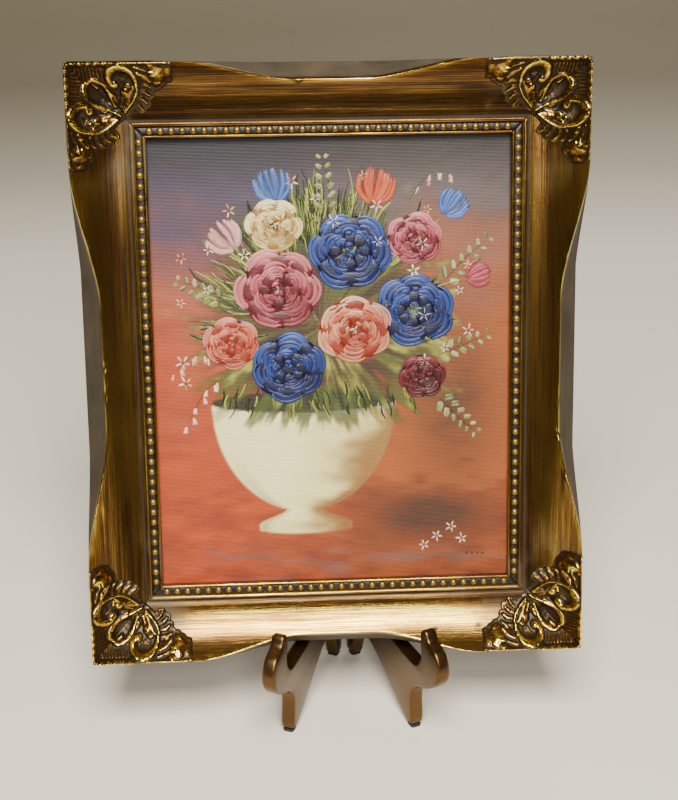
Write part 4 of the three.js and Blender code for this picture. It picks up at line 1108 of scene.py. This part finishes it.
class Brush:
    """Lays strokes of thick paint: each is a small tapered pillow with bristle ridges."""

    def __init__(self, seed):
        self.rng = np.random.default_rng(seed)
        self.shape = Shape()
        self.layer = 0.0

    def stroke(self, line, width, colour, edge, thick=0.13, ends=(0.3, 0.15), fine=False):
        """Width follows a sine along a curved line; height is thick * (1 - s^2) across it. Each
        bristle mixes its own share of the edge colour in."""
        self.layer += LAYER_STEP
        long, wide = (6, 3) if fine else (8, 5)
        rng = self.rng
        line = along_line(curve_through(line, 20), long)
        t, s = np.linspace(0, 1, long)[:, None], np.linspace(-1, 1, wide)[None]
        tangent = np.gradient(line, axis=0)
        tangent /= np.linalg.norm(tangent, axis=1, keepdims=True) + 1e-9
        normal = np.stack([-tangent[:, 1], tangent[:, 0]], -1)
        body = np.sin(np.pi * t) ** 0.55
        half = width / 2 * (mix(*ends, t) * (1 - body) + body) * rng.uniform(0.85, 1.1, (long, 1))
        ragged = (t > 0.99) * rng.uniform(-0.3, 0.5, (1, wide)) * width
        spot = line[:, None] + normal[:, None] * (half * s)[..., None] + tangent[:, None] * ragged[..., None]
        rise = thick * (0.3 + 0.7 * body) * (1 - s**2) * rng.uniform(0.6, 1.3, (1, wide))
        buried = (np.abs(s) > 0.99) | (t < 0.01) | (t > 0.99)
        rise = np.where(buried, -0.3, rise + self.layer + 0.02)
        points = np.concatenate([spot, rise[..., None]], -1).reshape(-1, 3)
        points += (0, OUTER_HEIGHT / 2, CANVAS_FRONT)
        share = rng.uniform(0, 1, (1, wide, 1)) ** 2 + rng.uniform(-0.2, 0.2, (long, wide, 1))
        paint = mix(np.asarray(colour), np.asarray(edge), np.clip(share, 0, 1))
        paint = np.clip(paint * rng.uniform(0.82, 1.16, (long, wide, 1)), 0, 1)
        paint = np.column_stack([paint.reshape(-1, 3), np.ones(long * wide)])
        faces = grid_faces(long, wide)[:, ::-1].tolist() + [grid_rim(long, wide).tolist()]
        self.shape.add(panel_to_world(points), faces, paint=paint)

    def rose(self, x, y, radius, dark, mid, light):
        """Lobed petals in rings that tighten to the heart. A petal is a few arcs about a centre
        set out from the flower's own, dark inside and lit from the upper left on its rim."""
        rng, centre = self.rng, np.array([x, y], float)
        for turns in np.linspace(0, 2 * math.pi, 9)[:-1, None] + np.linspace(-0.5, 0.5, 4):
            ring = way(turns) * ROSE_FLAT
            self.stroke(centre + radius * 0.72 * ring, radius * 0.5, mix(dark, mid, 0.2), dark)
            self.stroke(centre + radius * 0.34 * ring, radius * 0.5, dark, mix(dark, mid, 0.3))
        for count, size in ROSE_RINGS:
            start = rng.uniform(0, 2 * math.pi)
            for i in range(count):
                aim = start + 2 * math.pi * i / count + rng.uniform(-0.12, 0.12)
                reach = radius * size * rng.uniform(0.93, 1.05)
                self.petal(centre + 0.44 * reach * way(aim) * ROSE_FLAT, aim, reach, dark, mid, light)
        for aim in rng.uniform(0, 6.3, 4):
            tip = centre + radius * 0.13 * way(aim)
            middle = (centre + tip) / 2 + 0.4
            self.stroke([centre, middle, tip], radius * 0.08, mix(dark, mid, 0.5), light, 0.15)

    def petal(self, middle, aim, reach, dark, mid, light):
        lit = 0.5 + 0.42 * math.cos(aim - LIT_FROM) + self.rng.uniform(-0.15, 0.15)
        body = mix(dark, mid, 0.35 + 0.65 * np.clip(lit, 0, 1))
        for share, spread, tone in PETAL_ARCS:
            arc = way(aim + np.linspace(-spread, spread, 5)) * ROSE_FLAT
            line = middle + reach * share * arc * self.rng.uniform(0.96, 1.04, (5, 1))
            shade = mix(body, dark, -tone)
            if tone >= 0:
                shade = mix(body, light, tone * np.clip(lit + 0.1, 0.1, 1))
            self.stroke(line, reach * (0.25 if tone < 0.4 else 0.12), shade, mix(shade, light, 0.25 * lit))

    def tulip(self, x, y, height, turn, dark, light):
        """Cups of long petal strokes that open upward from the stem."""
        base = np.array([x, y], float)
        for k in (-0.8, 0.8, -0.45, 0.45, -0.15, 0.2):
            for _ in range(3):
                aim = turn + k * 0.62 + self.rng.uniform(-0.08, 0.08)
                tip = base + height * (1 - 0.14 * abs(k)) * way(aim)
                bow = way(aim + math.pi / 2) * height * 0.24 * k
                shade = mix(dark, light, self.rng.uniform(0.1, 0.85))
                middle = (base + tip) / 2 + bow
                self.stroke([base, middle, tip], height * 0.19, shade, light, ends=(0.5, 0.1))

    def star(self, x, y, radius, colour):
        """Five pointed petals about an ochre heart."""
        turn = self.rng.uniform(0, 1.2)
        for i in range(5):
            aim = way(turn + 2 * math.pi * i / 5)
            spots = [(x, y) + aim * radius * share for share in (0.1, 0.6, self.rng.uniform(0.9, 1.15))]
            shade = colour * self.rng.uniform(0.75, 1.1)
            self.stroke(spots, radius * 0.42, shade, WHITE, 0.16, (0.4, 0.2), True)
        self.stroke([(x - 0.4, y), (x, y + 0.2), (x + 0.5, y)], radius * 0.3, OCHRE, RUST, 0.2, fine=True)

    def blade(self, base, tip, width, colour, edge):
        """One thin pointed stroke of foliage."""
        base, tip = np.asarray(base, float), np.asarray(tip, float)
        side = np.array([base[1] - tip[1], tip[0] - base[0]]) * self.rng.uniform(-0.15, 0.15)
        self.stroke([base, (base + tip) / 2 + side, tip], width, colour, edge, 0.1, (0.5, 0.05), True)

    def round_leaves(self, base, tip):
        """A thin stem with six pairs of round leaves, smaller towards its tip."""
        base, tip = np.asarray(base, float), np.asarray(tip, float)
        run = tip - base
        along = run / np.linalg.norm(run)
        aside = np.array([-along[1], along[0]])
        self.blade(base, tip, 0.9, DEEP_GREEN, GREEN)
        for t in np.linspace(0.2, 1, 6):
            for hand in (-aside, aside):
                size = 5.2 - 2.6 * t
                spot = base + run * t + hand * size * 0.75
                lean = (along * 0.6 + hand * 0.8) * size * 0.6
                shade = mix(GREEN, LIME, self.rng.uniform(0, 0.5))
                glint = mix(shade, WHITE, 0.4)
                self.stroke([spot - lean, spot, spot + lean], size, shade, glint, 0.12, (0.7, 0.6))

    def bells(self, base, tip, colour):
        """An arching stem hung with small bells."""
        base, tip = np.asarray(base, float), np.asarray(tip, float)
        arch = [base, (base + tip) / 2 + (0, 0.22 * abs(tip[0] - base[0]) + 3), tip]
        self.stroke(arch, 0.8, GREEN, DEEP_GREEN, 0.1, (0.8, 0.5), True)
        for k, (x, y) in enumerate(curve_through(arch, 40)[12::4]):
            drop = 1.4 if k % 2 else -1.2
            for lean in (-1.1, 0, 1.1):
                line = [(x + drop * 0.4, y - 1), (x + drop + lean * 0.5, y - 3.4), (x + drop + lean, y - 5.4)]
                shade = colour * self.rng.uniform(0.8, 1.1)
                self.stroke(line, 1.7, shade, WHITE, 0.14, (0.3, 0.5), True)


LEAF_TONES = (
    (DEEP_GREEN, GREEN), (DEEP_GREEN, GREEN), (GREEN, LIME), (GREEN * 0.7, DEEP_GREEN), (LIME * 0.7, LIME),
)


def foliage(brush, rng):
    """Hundreds of thin strokes thrown outward from the heart of the bunch, then the fringe over
    the bowl's rim."""
    for k, middle in enumerate(rng.uniform(-0.3, math.pi + 0.3, 64)):
        reach = rng.uniform(52, 82) * (0.9 + 0.2 * math.sin(middle))
        for i in range(12):
            aim = middle + rng.normal(0, 0.16)
            root = HEART + reach * rng.uniform(0.55, 0.8) * way(middle) * BUNCH_FLAT
            tip = root + rng.uniform(9, 22) * (way(aim) + (0, 0.15))
            if abs(tip[0]) < 90 and tip[1] < 114:
                brush.blade(root, tip, rng.uniform(1.2, 2.8), *LEAF_TONES[(k + i) % 5])
    for x in rng.uniform(-60, 46, 54):
        root = np.array([x, rng.uniform(-22, -8)])
        reach = rng.uniform(7, 15)
        lean = 0.5 * np.sign(x - BOWL_X) * rng.uniform(0, 1)
        tip = root + reach * np.array([lean, -1])
        brush.blade(root, tip, rng.uniform(1.2, 2.4), *LEAF_TONES[int(x) % 5])


# Sprigs from base to tip, and tulips as (place, height, turn, dark, light)
LEAF_SPRIGS = (
    ((58, 40), (84, 66)), ((54, 2), (84, 14)), ((-2, 78), (-4, 110)),
    ((-56, 34), (-82, 46)), ((56, -18), (78, -40)),
)
BELL_SPRIGS = (
    ((-54, -6), (-80, -34), BLUSH), ((-58, 0), (-86, -4), PEACH), ((40, 84), (66, 100), PINK),
)
TULIPS = (
    ((-50, 62), 19, 2.3, WINE, BLUSH), ((-28, 86), 20, 1.8, NAVY, SKY), ((22, 84), 21, 1.4, RUST, PEACH),
    ((60, 78), 17, 0.9, NAVY, SKY), ((72, 44), 15, 0.4, WINE, PINK),
)
FALLEN_STARS = ((56, -98), (64, -93), (49, -103), (70, -100))


def bouquet(paint):
    """The made-up arrangement: foliage, then sprigs, tulips and roses, small stars over them."""
    brush, rng = Brush(7), np.random.default_rng(19)
    foliage(brush, rng)
    brush.layer += 0.03
    for sprig in LEAF_SPRIGS:
        brush.round_leaves(*sprig)
    for sprig in BELL_SPRIGS:
        brush.bells(*sprig)
    for place, *tulip in TULIPS:
        start = mix(HEART, np.array(place), 0.55)
        stem = [start, mix(start, np.array(place), 0.5) + 1.5, place]
        brush.stroke(stem, 1.5, GREEN, LIME, 0.12, (0.9, 0.7))
        brush.tulip(*place, *tulip)
    brush.layer += 0.10
    for rose in ROSES:
        brush.rose(*rose)
        brush.layer += 0.02
    for i, aim in enumerate(np.linspace(-0.35, math.pi + 0.4, 27)):
        reach = (60, 72, 84)[i % 3] + rng.uniform(-5, 5)
        x, y = HEART + reach * way(aim) * BUNCH_FLAT
        if abs(x) < 86 and y < 108:
            brush.star(x, y, rng.uniform(2.8, 4.6), (WHITE, BLUSH, PEACH)[i % 3] * 0.95)
    for x, y in FALLEN_STARS:
        brush.star(x, y, 3.4, BLUSH)
    for k in range(4):
        dash = (72 + 3 * k, -109), (73.5 + 3 * k, -107.6 - 0.5 * (k % 2))
        brush.blade(*dash, 0.5, SHADOW * 0.5, SHADOW)
    return brush.shape.piece("brushwork", [paint], "painted_canvas")


# The scene


def backdrop_finish():
    """Pale warm grey, nearly even around the object and ever darker towards the back: painted shade, as if
    less light reached there.
    """
    f = Finish("studio_grey", roughness=0.7)
    back = f.node("ShaderNodeSeparateXYZ", {"Vector": f.mapped()}).outputs["Y"]
    level = f.total((back, 0.5), (f.noise(3, 2, 0.5), 0.03))
    f.set(Base_Color=f.ramp(level, *zip((0.38, 0.52, 0.66, 0.82), BACKDROP_WITH_PAINTED_FALLOFF)))
    return f.material


def studio_floor():
    """A pale floor that curves up into a backdrop behind the object."""
    wide, front, back, rise, bend = 1.3, -0.45, 1.75, 0.60, 0.30
    turn = np.linspace(0, math.pi / 2, 12)
    curve = [(back - bend + bend * math.sin(t), bend - bend * math.cos(t)) for t in turn]
    profile = [(front, 0.0), *curve, (back, rise)]
    points = [(x, y, z) for y, z in profile for x in (-wide, wide)]
    faces = [(i, i + 1, i + 3, i + 2) for i in range(0, 2 * len(profile) - 2, 2)]
    mesh = bpy.data.meshes.new("studio_floor")
    mesh.from_pydata(points, [], faces)
    mesh.polygons.foreach_set("use_smooth", [True] * len(faces))
    mesh.materials.append(backdrop_finish())
    obj = bpy.data.objects.new("studio_floor", mesh)
    bpy.context.scene.collection.objects.link(obj)


def area_light(name, place, aim, size, power, colour):
    data = bpy.data.lights.new(name, "AREA")
    data.shape, data.size, data.size_y = "RECTANGLE", size[0], size[1]
    data.energy, data.color = power, colour
    light = bpy.data.objects.new(name, data)
    light.location = place
    run = np.array(aim, float) - np.array(place, float)
    tilt = math.acos(-run[2] / np.linalg.norm(run))
    light.rotation_euler = (tilt, 0, math.atan2(run[0], -run[1]) + math.pi)
    bpy.context.scene.collection.objects.link(light)


def lights():
    """A broad light high in front, a weak one lower down and hardly any light from the sides."""
    warm, pale = (1.0, 0.95, 0.83), (1.0, 0.96, 0.90)
    area_light("high_front", (-0.05, -1.05, 1.65), (0, 0, 0.15), (0.9, 0.7), 64, warm)
    area_light("low_front", (0.08, -1.65, 1.12), (0, 0, 0.15), (0.5, 0.6), 17, warm)
    area_light("rear", (0.7, 1.5, 1.3), (0, 0, 0.2), (0.8, 0.8), 7, pale)
    world = bpy.data.worlds.new("room")
    world.use_nodes = True
    sky = world.node_tree.nodes["Background"].inputs
    sky["Color"].default_value = (0.62, 0.60, 0.57, 1)
    sky["Strength"].default_value = 0.03
    bpy.context.scene.world = world


# The camera's place in the framed panel and its axes there, from the frame's eight corners
CAMERA_PLACE = (-39.7, 292.7, 777.1)
CAMERA_TURN = (11.381, 3.193, 0.815)
IMAGE_HEIGHT = 800
FOCAL_PIXELS = 1448.4
SENSOR = 36.0


def camera():
    """A pinhole camera: its axes in the panel are the rows of Rz Rx Ry, turned with the lean."""
    rx, ry, rz = (Matrix.Rotation(math.radians(a), 3, axis) for a, axis in zip(CAMERA_TURN, "XYZ"))
    axes = np.array(rz @ rx @ ry)
    here = panel_to_world(CAMERA_PLACE)
    world_axes = [(panel_to_world(np.array(CAMERA_PLACE) + axis * 1000) - here) for axis in axes]
    data = bpy.data.cameras.new("camera")
    data.sensor_fit, data.sensor_height, data.sensor_width = "VERTICAL", SENSOR, SENSOR
    data.lens = FOCAL_PIXELS * SENSOR / IMAGE_HEIGHT
    data.clip_start, data.clip_end = 0.01, 20
    obj = bpy.data.objects.new("camera", data)
    matrix = np.eye(4)
    matrix[:3, :3] = np.array(world_axes).T
    matrix[:3, 3] = here
    bpy.context.scene.collection.objects.link(obj)
    obj.matrix_world = Matrix(matrix.tolist())
    bpy.context.scene.camera = obj


def main():
    camera()
    gilt, wood, beads, cast = gilt_rail_finish(), raw_wood_finish(), beading_finish(), ornament_finish()
    for side, word in enumerate(("top", "left", "bottom", "right")):
        moulded_rail(side, "rail_" + word, gilt, wood)
        beaded_strip(side, "beading_" + word, beads)
    field = ornament_field()
    corners = ("top_right", 1, 1), ("top_left", -1, 1), ("bottom_left", -1, -1), ("bottom_right", 1, -1)
    for word, sx, sy in corners:
        cast_ornament("corner_ornament_" + word, sx, sy, field, cast)
    painted_canvas(paint_finish("canvas_paint", 1.0, 0.55), board_finish())
    bouquet(paint_finish("thick_paint", 0.35, 0.42))
    bronze, rubber = bronze_finish(), rubber_finish()
    for side, word in ((-1, "left"), (1, "right")):
        easel_plate(side, "easel_" + word, bronze)
        foot_pad(side, False, "foot_pad_front_" + word, rubber)
        foot_pad(side, True, "foot_pad_rear_" + word, rubber)
    steel = metal_finish("plain_steel", STEEL_DARK, STEEL, 0.35)
    brass = metal_finish("brassed_plate", BRASS_DARK, BRASS, 0.32)
    metals = {"framing_point": steel, "hinge_pin": steel, "sawtooth_hanger": brass}
    for name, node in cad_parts.items():
        for start, metal in metals.items():
            if name.startswith(start):
                node.data.materials.clear()
                node.data.materials.append(metal)
    studio_floor()
    lights()


main()
